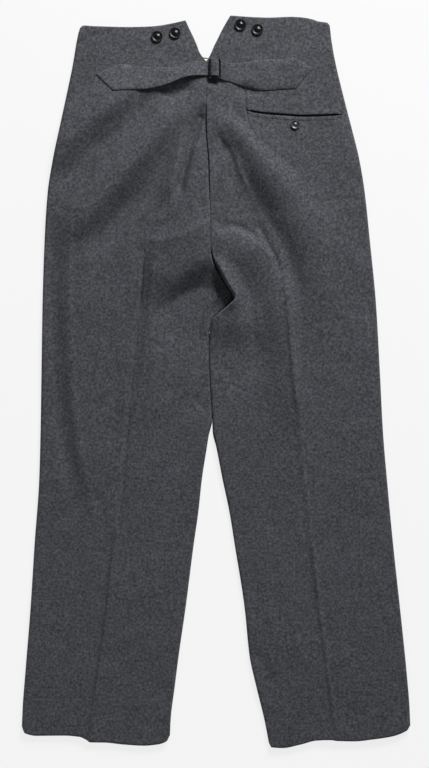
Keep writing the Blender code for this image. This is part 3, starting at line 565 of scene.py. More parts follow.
RIGHT_FOLDS = (
    # the long folds from the cinch down to the side
    Fold(((4, 396), (27, 372), (47, 354), (70, 329), (91, 300), (108, 275)), 21, 25, 8.2, 18),
    Fold(((96, 294), (112, 268), (128, 240), (141, 208), (150, 172), (156, 132), (158, 92)), 33, 33, 7.4, 50),
    Fold(((6, 364), (20, 350), (29, 326), (30, 300), (31, 276), (36, 252)), 24, 16, -5.0, 16),
    Fold(((40, 310), (58, 272), (78, 236), (98, 202), (112, 168), (120, 126)), 18, 26, -5.2, 20),
    Fold(((12, 420), (33, 395), (58, 366), (83, 343), (110, 322), (134, 308)), 7, 11, -1.6),
    Fold(((128, 268), (150, 244), (172, 216), (194, 188), (222, 154)), 22, 30, 3.6, 34),
    # the hollow over the crotch, its lip, and the folds that run down from it
    Fold(((4, 240), (26, 238), (50, 228), (68, 212)), 40, 20, -9.4, 16),
    Fold(((-4, 212), (14, 218), (34, 218), (58, 204), (82, 180)), 9, 22, 3.0, 14),
    Fold(((26, 186), (40, 164), (52, 138), (58, 104), (62, 60), (66, 20)), 26, 18, -6.2, 40),
    Fold(((3, 184), (9, 164), (17, 146), (25, 128), (22, 106)), 10, 9, 10.0, 20),
    # the broad pressed crease, and the hollow under the crotch
    Fold(
        ((86, 196), (96, 165), (102, 135), (106, 90), (110, 40), (114, 0), (119, -45), (125, -90)),
        13, 34, 9.6, 110,
    ),
    Fold(((-8, 38), (12, 36), (32, 30), (52, 20)), 36, 40, -6.0, 12),
    Fold(((-4, 92), (14, 95), (44, 88), (80, 74)), 38, 32, 6.2, 18),
    # a dent at the inside leg, and two hollows under the strap
    Fold(((50, -395), (69, -430), (90, -465)), 11, 12, -2.2),
    Fold(((-14, 450), (2, 448), (16, 444)), 9, 9, -3.0, 8),
    Fold(((30, 440), (48, 435), (66, 433)), 8, 8, -3.2, 8),
)
print("wide folds", len(LEFT_FOLDS), "and", len(RIGHT_FOLDS))

# %% The narrow creases
LEFT_CREASES = (
    # the leg's pressed crease, from the crotch to the hem
    Fold(((-106, 200), (-109, 150), (-114, 100), (-120, 50), (-124, 8), (-131, -50)), 20, 3, -6.8, 60),
    Fold(((-90, 197), (-93, 150), (-98, 100), (-104, 50), (-109, 8), (-117, -50)), 30, 9, 2.8, 24),
    Fold(((-131, -35), (-139, -140), (-150, -230)), 4, 2.5, -3.0, 20),
    Fold(((-145, -190), (-150, -230), (-166, -370), (-180, -468), (-192, -543)), 2.6, 3.6, 4.2, 40),
    # small puckers
    Fold(((-87, 227), (-73, 235), (-63, 248)), 6, 7, -2.2, 8),
    Fold(((-98, 250), (-90, 255), (-79, 263)), 5, 5, -1.5, 8),
    Fold(((-124, 212), (-116, 232), (-103, 246)), 6, 7, -2.6, 8),
    Fold(((-42, 313), (-26, 315), (-12, 318)), 3, 4, -0.8, 8),
    Fold(((-228, 254), (-215, 251), (-203, 254)), 3, 6, -1.0, 8),
    Fold(((-84, 409), (-71, 415), (-58, 431)), 6, 8, -2.0, 10),
    Fold(((-34, -22), (-22, -37), (-10, -49)), 5, 6, -0.8, 8),
    Fold(((-26, 402), (-20, 408), (-13, 413)), 4, 5, -1.5, 6),
)
RIGHT_CREASES = (
    Fold(((25, 347), (32, 326), (40, 305), (47, 287)), 3.5, 4.5, 1.6, 10),
    Fold(((2, 372), (9, 355), (17, 342)), 6, 7, -2.2, 8),
    Fold(((62, 238), (75, 210), (90, 184), (99, 158)), 5, 5, -2.8, 12),
    # the leg's pressed crease
    Fold(((123, -60), (132, -141), (143, -231), (153, -321)), 3, 5, 1.6, 40),
    Fold(((142, -225), (153, -321), (166, -420), (182, -540)), 3, 4, 2.6, 40),
    Fold(((150, 267), (175, 270), (205, 275)), 4, 5, -0.8, 10),
    Fold(((160, 384), (164, 380), (171, 379)), 4, 5, -0.8, 4),
    Fold(((158, -10), (172, -10), (185, -8)), 4, 4, -0.6, 8),
)
print("creases", len(LEFT_CREASES), "and", len(RIGHT_CREASES))

# %% A fold's height
BRUSH_STEP = 0.3  # the bells stand this share of the narrower width apart
BRUSH_REACH = 2.6  # and are left out beyond this many widths
FAINT_END, FADE_LIMIT = 0.2, 0.3  # a fold's share at its ends, and its longest fade as a share of its length


def fold_height(x, y, fold):
    """Height that a fold adds: the sum of share * step / (width * sqrt(pi)) * exp(-(distance / width) ** 2)
    over its bells. The width goes from the right one to the left one round each bell, and the share fades."""
    points = np.array(fold.points, float)
    total = np.linalg.norm(np.diff(points, axis=0), axis=1).sum()
    reach = BRUSH_REACH * max(fold.left_width, fold.right_width)
    low, high = points.min(0) - reach, points.max(0) + reach
    near = (x > low[0]) & (x < high[0]) & (y > low[1]) & (y < high[1])
    added = np.zeros_like(x)
    if not near.any():
        return added
    count = int(total / (BRUSH_STEP * min(fold.left_width, fold.right_width))) + 2
    path = along_curve(points, count)
    step = np.linalg.norm(np.gradient(path, axis=0), axis=1)
    run = np.concatenate([[0.0], np.cumsum(0.5 * (step[1:] + step[:-1]))])
    fade = min(FADE_LIMIT * total, fold.fade)
    share = FAINT_END + (1.0 - FAINT_END) * ease(run / fade) * ease((run[-1] - run) / fade)
    ahead = np.gradient(path, axis=0)
    ahead /= np.linalg.norm(ahead, axis=1, keepdims=True)
    near_x, near_y = x[near], y[near]
    height = np.zeros_like(near_x)
    for centre, way, weight in zip(path, ahead, share * step):
        off_x, off_y = near_x - centre[0], near_y - centre[1]
        distance = np.hypot(off_x, off_y) + 1e-6
        leftness = ease(0.5 + 0.5 * (way[0] * off_y - way[1] * off_x) / distance)
        width = fold.right_width + (fold.left_width - fold.right_width) * leftness
        height += weight / (width * np.sqrt(np.pi)) * np.exp(-((distance / width) ** 2))
    added[near] = fold.height * height
    return added


# %% [markdown]
# ## The hip pocket's place
# A jetted pocket is a slit in the panel, lined with two narrow folded strips. The strips are set into the
# slit, so the panel dips under them, and their tops are nearly level with it. The mouth is the line between.

# %% The pocket's mouth
POCKET_MOUTH = rows_of(Edge, (
    (46.4, 404.8), (71.1, 401.0), (107.0, 398.5), (129.9, 397.2), (150.0, 397.6), (186.4, 399.4),
))
MOUTH_HALF_GAP = 2.0
UPPER_JET_WIDTH = 6.0
LOWER_JET_WIDTH = 5.0
JET_SEAT = 1.15  # how far the panel dips under the jets
MOUTH_DEPTH = 2.4
JET_TAPER, JET_END_WIDTH = 8.0, 0.45
SEAT_EDGE, SLIT_EDGE, POCKET_END = 1.6, 0.6, 2.0  # over how far the dips begin


def mouth_share(x):
    """How far the mouth is open at x: 1 along its middle and JET_END_WIDTH at its two corners."""
    first, last = POCKET_MOUTH[0].x, POCKET_MOUTH[-1].x
    inward = ease((x - first) / JET_TAPER) * ease((last - x) / JET_TAPER)
    return JET_END_WIDTH + (1 - JET_END_WIDTH) * inward


def pocket_dip(x, y):
    """Depth of the panel under the jets and the mouth, zero outside the pocket."""
    share = mouth_share(x)
    above = y - read(POCKET_MOUTH, x, "y")
    first, last = POCKET_MOUTH[0].x, POCKET_MOUTH[-1].x
    inside = ease((x - first) / POCKET_END + 1.0) * ease((last - x) / POCKET_END + 1.0)
    seat = ease((UPPER_JET_WIDTH * share - above) / SEAT_EDGE + 1.0)
    seat = seat * ease((above + LOWER_JET_WIDTH * share) / SEAT_EDGE + 1.0)
    slit = ease((MOUTH_HALF_GAP * share - abs(above)) / (2.0 * SLIT_EDGE) + 0.5)
    return inside * (JET_SEAT * seat + MOUTH_DEPTH * slit)


print("pocket mouth", POCKET_MOUTH[-1].x - POCKET_MOUTH[0].x, "mm long and", 2 * MOUTH_HALF_GAP, "mm wide")


# %% [markdown]
# ## How high the cloth lies
# The back panel's height over the table is a sum: the flat leg, a swelling over the seat, a slope down to the
# thin waist, the folds and creases, a slow unevenness of a few tenths of a millimetre, and the pocket's dip.
# It never sinks into the layers below it.

# %% Height of the back
FLY_LEFT, FLY_RIGHT, FLY_TOP, FLY_BOTTOM = -30.0, 12.0, 445.0, 300.0
FACING_DEPTH, FACING_BELOW_EDGE = 35.0, 1.0
FACING_ENDS = (("left", -196.0, -8.2), ("right", -7.0, 160.0))
INNER_MARGIN = 12.0
FLY_TOP_MARGIN = 4.0
DART = Fold(((42.5, 437), (44.5, 415), (48.3, 380)), 1.6, 1.6, -2.0, 8)
UNEVEN_SEED = 11
UNEVEN_AREA = (-320.0, 320.0, -580.0, 580.0)
Uneven = namedtuple("Uneven", "spacing amount")
UNEVENNESS = (Uneven(90.0, 0.9), Uneven(46.0, 0.7), Uneven(19.0, 0.26), Uneven(9.0, 0.07))


def hem_share(y, hem):
    """1 in the turned-up leg end and 0 above it."""
    return 1.0 - ease((y - hem - HEM_DEPTH) / HEM_STEP + 0.5)


def swelling(x, y, swell):
    """height * exp(-(dx / reach_x) ** 2 - (dy / reach_y) ** 2)."""
    away_x = (x - swell.centre[0]) / swell.reach[0]
    away_y = (y - swell.centre[1]) / swell.reach[1]
    return swell.height * np.exp(-(away_x**2) - away_y**2)


def unevenness(x, y, spacing, seed):
    """Random heights from -1 to 1 on a square net, joined by the S curve of ease along x and y."""
    west, east, south, north = UNEVEN_AREA
    net = np.random.default_rng(seed).uniform(
        -1.0, 1.0, (int((north - south) / spacing) + 3, int((east - west) / spacing) + 3)
    )
    across, up = (x - west) / spacing, (y - south) / spacing
    i, j = np.floor(up).astype(int), np.floor(across).astype(int)
    s, t = ease(up - i), ease(across - j)
    low = net[i, j] * (1 - t) + net[i, j + 1] * t
    high = net[i + 1, j] * (1 - t) + net[i + 1, j + 1] * t
    return low * (1 - s) + high * s


def back_height(x, y, side):
    """Height of a back panel's upper side over the table, without its edges' rolls."""
    front_edge = read(FRONT_TOP, x, "y")
    height = LEG_HEIGHT - HEM_FLATTER * ease((HEM_FLAT_FROM - y) / HEM_FLAT_REACH)
    height = height + swelling(x, y, SEAT_SWELL) + swelling(x, y, TORSO_SWELL) + swelling(x, y, CINCH_SWELL)
    height = height + (WAIST_HEIGHT - height) * ease(1.0 + (y - front_edge) / WAIST_SLOPE)
    height = height + (PEAK_HEIGHT - WAIST_HEIGHT) * ease((y - front_edge) / PEAK_SLOPE)
    folds = LEFT_FOLDS + LEFT_CREASES if side == "left" else RIGHT_FOLDS + RIGHT_CREASES
    for fold in folds:
        height = height + fold_height(x, y, fold)
    for row in UNEVENNESS:
        height = height + row.amount * unevenness(x, y, row.spacing, UNEVEN_SEED + int(row.spacing))
    if side == "right":
        height = height + fold_height(x, y, DART) - pocket_dip(x, y)
    hem_y = min(row.y for row in (LEFT_HEM if side == "left" else RIGHT_HEM))
    over_front = 2 * (CLOTH + (HEM_CLOTH - CLOTH) * hem_share(y, hem_y)) + SEAM_GAP
    by_fly_x = (x > FLY_LEFT - INNER_MARGIN) & (x < FLY_RIGHT + INNER_MARGIN)
    by_fly = by_fly_x & (y > FLY_BOTTOM - INNER_MARGIN) & (y < FLY_TOP + FLY_TOP_MARGIN)
    by_facing = y > front_edge - FACING_DEPTH - INNER_MARGIN
    clear = over_front + (CLOTH + SEAM_GAP) * by_fly
    clear = np.where(by_facing, over_front + FACING_CLOTH + SEAM_GAP, clear)
    clear = np.where(y > front_edge + LAP, CLOTH + PEAK_CLEARANCE, clear)
    return np.maximum(height, clear)


sample_x, sample_y = np.meshgrid(np.linspace(-240, -20, 12), np.linspace(-500, 500, 12))
print("back height on a few points", back_height(sample_x, sample_y, "left").mean().round(2), "mm")

# %% [markdown]
# ## From a sheet to a piece of cloth
# A piece of cloth is two sheets of points, its face and its wrong side, one cloth apart. The face is fine.
# The wrong side is hardly seen, so it takes every second point of every second row. The rim between them is
# rounded: a middle line stands out by a share of the thickness, as on a turned or pressed edge.

# %% Building cloth
RIM_BULGE = 0.42


def sheet_normals(points):
    """Unit normals of a grid of points, upward on the whole: the cross product of its two slopes."""
    normal = np.cross(np.gradient(points, axis=0), np.gradient(points, axis=1))
    normal /= np.linalg.norm(normal, axis=-1, keepdims=True)
    return normal * np.sign(normal[..., 2].mean())


def add_mesh(name, points, faces, finish):
    """One named object from points in millimetres. It lies at the origin and rides on the only body."""
    mesh = bpy.data.meshes.new(name)
    mesh.from_pydata((np.asarray(points) * MM).tolist(), [], faces)
    mesh.validate()
    mesh.shade_smooth()
    mesh.materials.append(finish)
    piece = bpy.data.objects.new(name, mesh)
    bpy.context.scene.collection.objects.link(piece)
    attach(piece, "root")
    return piece


def rim_of(index):
    """The indices round a grid's edge, in order."""
    return np.concatenate([index[0, :-1], index[:-1, -1], index[-1, :0:-1], index[:0:-1, 0]])


def quads_of(index):
    """The four corners of each cell of a grid of indices."""
    return np.stack([index[:-1, :-1], index[1:, :-1], index[1:, 1:], index[:-1, 1:]], axis=-1).reshape(-1, 4)


def cloth_piece(name, face, wrong_side, finish, slot=None):
    """Joins a fine face and its wrong side, both odd by odd grids, into one closed piece with a round rim."""
    rows, columns = face.shape[:2]
    index = np.arange(rows * columns).reshape(rows, columns)
    rim = rim_of(index)
    row, column = np.divmod(rim, columns)
    inside = face[np.clip(row, 1, rows - 2), np.clip(column, 1, columns - 2)]
    outward = face[row, column] - inside
    outward /= np.linalg.norm(outward, axis=-1, keepdims=True)
    edge = 0.5 * (face[row, column] + wrong_side[row, column])
    depth = np.linalg.norm(face[row, column] - wrong_side[row, column], axis=-1, keepdims=True)
    edge = edge + RIM_BULGE * depth * outward
    coarse = wrong_side[::2, ::2]
    low_index = np.arange(coarse[..., 0].size).reshape(coarse.shape[:2]) + rows * columns + len(rim)
    low_rim = rim_of(low_index)
    middle = np.arange(len(rim)) + rows * columns
    upper_band = np.stack([rim, np.roll(rim, -1), np.roll(middle, -1), middle], axis=-1)
    ends = np.roll(middle, -1)[1::2]
    lower_band = np.stack([middle[::2], middle[1::2], ends, np.roll(low_rim, -1), low_rim], axis=-1)
    faces = [*quads_of(index).tolist(), *quads_of(low_index)[:, ::-1].tolist()]
    faces += [*upper_band.tolist(), *lower_band.tolist()]
    points = np.concatenate([face.reshape(-1, 3), edge, coarse.reshape(-1, 3)])
    if np.cross(face[1, 0] - face[0, 0], face[0, 1] - face[0, 0])[2] < 0:
        faces = [corners[::-1] for corners in faces]
    return add_mesh(name, points, faces, finish)


# %% [markdown]
# ## The shape of a panel
# A panel is drawn in rows from the waist to the hem. Across each row, the first and last points turn down in
# a quarter circle, at the side seam and the inside leg, and only a little at the seat seam, which gives the
# shallow groove of a pressed seam. Rows lie closer together at the pocket, whose mouth is 4 mm wide.

# %% Panels
ROLL_STEPS = 5
BACK_COLUMNS = 137
FRONT_COLUMNS = 61
Span = namedtuple("Span", "until spacing")
BACK_ROWS = (Span(416.0, 2.3), Span(390.0, 0.85), Span(200.0, 2.3), Span(70.0, 2.0), Span(-480.0, 2.6))
FRONT_ROWS = (Span(110.0, 9.0), Span(-480.0, 9.0))
BACK_LAST_SPACING, FRONT_LAST_SPACING = 2.2, 6.6
TIP_REACH = 2.0  # the row this near to the tip of the fork goes through it
FRONT_LEG_SHIFT = 0.6  # between the legs, the front's seam lies a little under the right back
SHIFT_TOP, SHIFT_TOP_REACH = 100.0, 20.0
SHIFT_BOTTOM, SHIFT_BOTTOM_REACH = -70.0, 10.0


def rows_from(top, bottom, spans, last_spacing):
    """y of the rows: each span's rows are evenly apart, and their number is odd in all."""
    rows = []
    for span in spans:
        rows += np.linspace(top, span.until, int((top - span.until) / span.spacing), endpoint=False).tolist()
        top = span.until
    last = int((top - bottom) / last_spacing)
    last += (len(rows) + last) % 2 == 0
    rows = np.array(rows + np.linspace(top, bottom, last).tolist())
    if abs(rows - FORK_TIP_Y).min() < TIP_REACH:
        rows[abs(rows - FORK_TIP_Y).argmin()] = FORK_TIP_Y
    return rows


def inner_edge(table, y, side):
    """x of a panel's inner edge: the notch wall, the seam with its neighbour, then the inside leg."""
    walls = NOTCH_WALLS if table is SEAT_SEAM else ()
    known_y = [row.y for row in walls] + [row.y for row in table] + [row.y for row in INSIDE_LEGS]
    known_x = [getattr(row, side) for row in walls] + [row.x for row in table]
    known_x += [getattr(row, side) for row in INSIDE_LEGS]
    slope = through(y - 0.5, known_y, known_x) - through(y + 0.5, known_y, known_x)
    shift = 0.5 * SEAM_GAP * np.sqrt(1.0 + slope**2) * (-1.0 if side == "left" else 1.0)
    between_legs = ease((SHIFT_TOP - y) / SHIFT_TOP_REACH) * ease((y - SHIFT_BOTTOM) / SHIFT_BOTTOM_REACH)
    under = FRONT_LEG_SHIFT * (table is FRONT_SEAM) * between_legs
    return through(y, known_y, known_x) + shift + under


def panel_grid(side, table, top, hem, spans, last_spacing, columns, height, roll):
    """A panel's sheet. A row's points lie at even shares of its width between two quarter-circle rolls.

    roll gives, for an array of y, the inner edge's turn in radians, its radius and its drop, then the same
    three for the side seam. The rows' places are worked out twice, because a turn depends on its own y.
    """
    way, inner, outer = (-1.0, -1, 0) if side == "left" else (1.0, 0, -1)
    y_inner = rows_from(top[inner].y, hem[inner].y, spans, last_spacing)
    share = (y_inner[0] - y_inner) / (y_inner[0] - y_inner[-1])
    y_outer = top[outer].y + (hem[outer].y - top[outer].y) * share
    turns = np.arange(ROLL_STEPS + 1, -1, -1) / ROLL_STEPS
    middle = np.linspace(0.0, 1.0, columns)[1:-1]
    first_turns = np.concatenate([turns, 0.0 * middle, 0.0 * turns])
    last_turns = first_turns[::-1]
    between = np.concatenate([0.0 * turns, middle, 0.0 * turns + 1.0])
    y = np.repeat(y_inner[:, None], len(between), axis=1)
    for _ in range(2):
        inner_turn, inner_radius, _, outer_turn, outer_radius, _ = roll(y)
        x_inner = inner_edge(table, y, side)
        width = abs(read(SIDE_SEAMS, y, side) - x_inner)
        first = inner_radius * np.sin(inner_turn)
        last = width - outer_radius * np.sin(outer_turn)
        across = first + (last - first) * between
        across = across - inner_radius * np.sin(inner_turn * first_turns)
        across = across + outer_radius * np.sin(outer_turn * last_turns)
        u = np.clip(across / width, 0.0, 1.0)
        x = x_inner + way * across
        y = y_inner[:, None] * (1 - u) + y_outer[:, None] * u
        near_top = np.clip(1.0 - share / END_SHAPE_REACH, 0, 1)[:, None]
        near_hem = np.clip(1.0 - (1.0 - share) / END_SHAPE_REACH, 0, 1)[:, None]
        y = y + (read(top, x[0], "y") - y[0]) * near_top + (read(hem, x[-1], "y") - y[-1]) * near_hem
    x = inner_edge(table, y, side) + way * across
    z = height(x, y)
    inner_turn, _, inner_drop, outer_turn, _, outer_drop = roll(y)
    inner_fall = (1 - np.cos(inner_turn * first_turns)) / (1 - np.cos(inner_turn))
    outer_fall = (1 - np.cos(outer_turn * last_turns)) / (1 - np.cos(outer_turn))
    z = z - inner_drop(z, y) * inner_fall - outer_drop(z, y) * outer_fall
    return np.stack([x, y, z], axis=-1)


# %% [markdown]
# ## The two back panels
# Above the crotch they meet at the seat seam. Below it each rolls down to its inside leg. The last 42 mm are
# two pressed layers, where the leg end is turned up inside, so the wall is thicker there.

# %% Back panels
def back_panel(side):
    """The back panel's face, and its wrong side one cloth further in along the normals."""
    top, hem = (LEFT_TOP, LEFT_HEM) if side == "left" else (RIGHT_TOP, RIGHT_HEM)
    hem_y = min(row.y for row in hem)

    def side_drop(z, y):
        return z - CLOTH - FRONT_ROLL_INSIDE - SEAM_GAP - (HEM_CLOTH - CLOTH) * hem_share(y, hem_y)

    def inner_drop(z, y):
        leg = ease((BACK_FORK_Y - y) / BACK_FORK_LENGTH)
        return SEAM_GROOVE + (side_drop(z, y) - SEAM_GROOVE) * leg

    def roll(y):
        leg = ease((BACK_FORK_Y - y) / BACK_FORK_LENGTH)
        turn = SEAM_GROOVE_ANGLE + (FULL_TURN_DOWN - SEAM_GROOVE_ANGLE) * leg
        full = np.full_like(y, FULL_TURN_DOWN)
        radius = np.full_like(y, EDGE_ROLL)
        return turn, radius, inner_drop, full, radius, side_drop

    grid = panel_grid(
        side, SEAT_SEAM, top, hem, BACK_ROWS, BACK_LAST_SPACING, BACK_COLUMNS,
        lambda x, y: back_height(x, y, side), roll,
    )
    thickness = CLOTH + (HEM_CLOTH - CLOTH) * hem_share(grid[..., 1], hem_y)
    wrong_side = grid - sheet_normals(grid) * thickness[..., None]
    return grid[:, 1:-1], wrong_side[:, 1:-1]


backs = {}
for side in ("left", "right"):
    backs[side] = cloth_piece(f"back_{side}_wool", *back_panel(side), wool, "wool")
    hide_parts(f"back_{side}")
    print(backs[side].name, "triangles", sum(len(p.vertices) - 2 for p in backs[side].data.polygons))

# %% [markdown]
# ## The two front panels
# They lie on the table, so they are flat, with only their side seams and inside legs turned up to meet the
# backs.

# %% Front panels
def front_panel(side):
    """The front panel lies face down: its outer side is on the table, and its inner side is one cloth up."""
    hem = LEFT_HEM if side == "left" else RIGHT_HEM
    hem_y = min(row.y for row in hem)
    way = -1.0 if side == "left" else 1.0
    top = [row for row in FRONT_TOP if way * (row.x - FRONT_CENTRE_X) >= 0]
    hem = [Edge(row.x, row.y + FRONT_HEM_SHORTER) for row in hem]

    def thickness(y):
        return CLOTH + (HEM_CLOTH - CLOTH) * hem_share(y, hem_y)

    def side_drop(z, y):
        return z - thickness(y) - FRONT_ROLL_INSIDE

    def inner_drop(z, y):
        return side_drop(z, y) * ease((FRONT_FORK_Y - y) / FRONT_FORK_LENGTH)

    def roll(y):
        leg = ease((FRONT_FORK_Y - y) / FRONT_FORK_LENGTH)
        turn = FLAT_EDGE_ANGLE + (FULL_TURN_DOWN - FLAT_EDGE_ANGLE) * leg
        radius = thickness(y) + FRONT_ROLL_INSIDE
        return turn, radius, inner_drop, np.full_like(y, FULL_TURN_DOWN), radius, side_drop

    grid = panel_grid(
        side, FRONT_SEAM, top, hem, FRONT_ROWS, FRONT_LAST_SPACING, FRONT_COLUMNS, lambda x, y: 0.0 * x, roll
    )
    inner_side = grid + sheet_normals(grid) * thickness(grid[..., 1])[..., None]
    return inner_side[:, 1:-1], grid[:, 1:-1]


fronts = {}
for side in ("left", "right"):
    fronts[side] = cloth_piece(f"front_{side}_wool", *front_panel(side), wool, "wool")
    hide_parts(f"front_{side}")
print("fronts", [front.name for front in fronts.values()])

# %% [markdown]
# ## Inside the waist
# Cream cotton facings lie along the front's top edge, and one corner shows at the bottom of the notch. A
# strip of wool lies behind the fly.

# %% Facings and fly
FACING_ALONG, FACING_ACROSS = 81, 15  # points of each grid
FLY_ACROSS, FLY_UP = 15, 41


def flat_strip(name, x, low, high, floor_height, thickness, across, finish, slot):
    """A strip of even thickness between two edges, on a given floor."""
    t = np.linspace(0.0, 1.0, across)
    grid_x = np.repeat(x[:, None], across, axis=1)
    grid_y = low[:, None] + (high - low)[:, None] * t
    under = np.stack([grid_x, grid_y, floor_height(grid_x, grid_y)], axis=-1)
    return cloth_piece(name, under + [0.0, 0.0, thickness], under, finish, slot)


def inside_rest(x, y):
    """The level on which the pieces inside the waist lie: one cloth and a gap over the table."""
    return 0.0 * x + CLOTH + SEAM_GAP


facings = {}
for side, first, last in FACING_ENDS:
    along = np.linspace(first, last, FACING_ALONG)
    edge = read(FRONT_TOP, along, "y") - FACING_BELOW_EDGE
    facings[side] = flat_strip(
        f"facing_{side}_cotton", along, edge - FACING_DEPTH, edge,
        inside_rest, FACING_CLOTH, FACING_ACROSS, cream_twill, "cotton_facing",
    )
    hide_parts(f"waist_facing_{side}")
along = np.linspace(FLY_LEFT, FLY_RIGHT, FLY_ACROSS)
fly = flat_strip(
    "fly_strip_wool", along, np.full_like(along, FLY_BOTTOM), np.full_like(along, FLY_TOP),
    inside_rest, CLOTH, FLY_UP, wool, "wool",
)
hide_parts("fly_underlap")
print("inside the waist", [facing.name for facing in facings.values()], fly.name)

# %% [markdown]
# ## The cinch straps
# Each strap is two layers of wool, turned and stitched round its pointed end, which is sewn to the back. The
# left one spans the hollow over the seat seam and its lower edge lifts clear, so a black shadow lies under
# it. The right one's end is looped over the buckle's bar.

# %% Strap tables
Strap = namedtuple("Strap", "x low high")
LEFT_STRAP = rows_of(Strap, (
    (-178.6, 458.8, 459.8), (-168.0, 448.0, 465.3), (-154.0, 434.3, 471.8), (-144.7, 435.3, 474.9),
    (-126.6, 436.3, 472.2), (-108.6, 437.2, 470.4), (-94.3, 439.2, 469.6), (-75.0, 443.8, 469.0),
    (-62.0, 448.9, 469.8), (-51.7, 453.0, 472.2), (-37.6, 456.6, 476.8), (-24.0, 457.8, 478.8),
    (-13.0, 458.0, 478.8), (2.0, 458.1, 478.8),
))
RIGHT_STRAP = rows_of(Strap, (
    (5.9, 454.6, 481.4), (8.0, 452.4, 481.0), (12.0, 450.4, 478.6), (22.0, 447.8, 475.8),
    (35.6, 442.8, 476.4), (50.6, 439.1, 478.8), (62.9, 436.2, 480.3), (81.6, 435.9, 481.8),
    (100.2, 437.1, 483.3), (120.0, 438.5, 484.8), (131.3, 453.3, 477.0), (144.6, 467.6, 468.6),
))
STRAP_LIFT = 0.15
SEWN_BLEND = 20.0
LEFT_STRAP_SEWN_TO, RIGHT_STRAP_SEWN_FROM = -119.0, 72.0
LEFT_STRAP_END_X, LEFT_STRAP_END_HEIGHT = -13.0, 9.1
LEFT_STRAP_TILT, LEFT_STRAP_TILT_LATE = 5.0, 2.1  # how far its lower edge lifts, and how late along it
RIGHT_STRAP_RISE_FROM, RIGHT_STRAP_RISE_TO = 34.0, 10.0
LEFT_STRAP_ROWS, RIGHT_STRAP_ROWS, LOOP_ROWS = 121, 102, 42
Loop = namedtuple("Loop", "x z")
STRAP_LOOP = rows_of(Loop, (
    (-7.8, 12.0), (-7.9, 12.9), (-6.9, 14.1), (-4.8, 15.0), (-2.2, 15.3), (0.4, 15.0), (2.3, 14.0),
    (3.4, 12.5), (4.4, 11.0),
))
LOOP_LOW, LOOP_HIGH = 454.6, 481.4
LOOP_ARCH = 2.2  # the loop's lower edge curves up between its two folds
STRAP_AT_BUCKLE = 10.2
STRAP_ACROSS = 17
STITCH_INSET = 2.6
STITCH_DENT, STITCH_DENT_WIDTH = 0.35, 1.1
EDGE_PRESSED, SEWN_PRESSED, PRESSED_REACH = 0.2, 0.75, 1.4
print("strap rows", len(LEFT_STRAP), len(RIGHT_STRAP), len(STRAP_LOOP))


# %% Strap forms
def strap_edges(table, x):
    """Low and high edge at x. The pointed end's edges are straight, and the rest are smooth."""
    low, high = read(table, x, "low"), read(table, x, "high")
    known = np.array([row.x for row in table])
    straight_low = np.interp(x, known, [row.low for row in table])
    straight_high = np.interp(x, known, [row.high for row in table])
    pointed = (x < LEFT_STRAP[3].x) | (x > RIGHT_STRAP[-3].x)
    return np.where(pointed, straight_low, low), np.where(pointed, straight_high, high)


def strap_grid(table, x):
    """x and y of a strap's points, and each point's share of the way from its low edge to its high edge."""
    t = np.linspace(0.0, 1.0, STRAP_ACROSS)
    low, high = strap_edges(table, x)
    return np.repeat(x[:, None], STRAP_ACROSS, axis=1), low[:, None] + (high - low)[:, None] * t, t


def higher_of(first, second, blend=0.4):
    """The greater of two heights, with a rounded change: blend * log(exp(a / blend) + exp(b / blend))."""
    return blend * np.logaddexp(first / blend, second / blend)


def strap_dent(t, span, sewn):
    """How much thinner a strap is: a bell at the stitched line, and a pressed edge, more where it is sewn."""
    from_edge = np.minimum(t, 1.0 - t) * span
    dent = STITCH_DENT * np.exp(-(((from_edge - STITCH_INSET) / STITCH_DENT_WIDTH) ** 2))
    return dent + (EDGE_PRESSED + SEWN_PRESSED * sewn) * np.exp(-((from_edge / PRESSED_REACH) ** 2))


# %% Left strap
def left_strap_under(x, y, t):
    """Height of the left strap's underside: on the panel at its sewn end, then level under the buckle."""
    panel = np.where(x < SEAT_SEAM[0].x, back_height(x, y, "left"), back_height(x, y, "right"))
    span = np.clip((x - LEFT_STRAP_SEWN_TO) / (LEFT_STRAP_END_X - LEFT_STRAP_SEWN_TO), 0.0, 1.0)
    start = back_height(np.full_like(y, LEFT_STRAP_SEWN_TO), y, "left") + STRAP_LIFT
    line = start + (LEFT_STRAP_END_HEIGHT - start) * ease(span)
    line = line + LEFT_STRAP_TILT * np.sin(np.pi * span**LEFT_STRAP_TILT_LATE) * (1.0 - t)
    under = np.where(span > 0, higher_of(panel + STRAP_LIFT, line), panel + STRAP_LIFT)
    return np.where(span >= 1.0, LEFT_STRAP_END_HEIGHT, under)


left_x = np.linspace(LEFT_STRAP[0].x, LEFT_STRAP[-1].x, LEFT_STRAP_ROWS)
grid_x, grid_y, grid_t = strap_grid(LEFT_STRAP, left_x)
left_under = np.stack([grid_x, grid_y, left_strap_under(grid_x, grid_y, grid_t)], axis=-1)
left_width = grid_y[:, -1:] - grid_y[:, :1]
left_face = left_under + np.array([0.0, 0.0, LEFT_STRAP_CLOTH])
left_sewn = ease((LEFT_STRAP_SEWN_TO - left_x[:, None]) / SEWN_BLEND)
left_face[..., 2] -= strap_dent(grid_t, left_width, left_sewn)
# Its wool is the painted-light copy, brighter than the panels' wool.
strap_left = cloth_piece("strap_left_wool", left_face, left_under, strap_wool_painted_lighter, "wool")
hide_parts("strap_left")
print("left strap lies from", left_under[..., 2].min().round(1), "to", left_under[..., 2].max().round(1))

# %% [markdown]
# ## The right strap and its loop
# The strap's middle sheet is one grid: the rows of the loop over the buckle's bar, and then the rows that lie
# on the panel. Its two sides are half a cloth away along the sheet's normals, so the loop keeps its
# thickness.

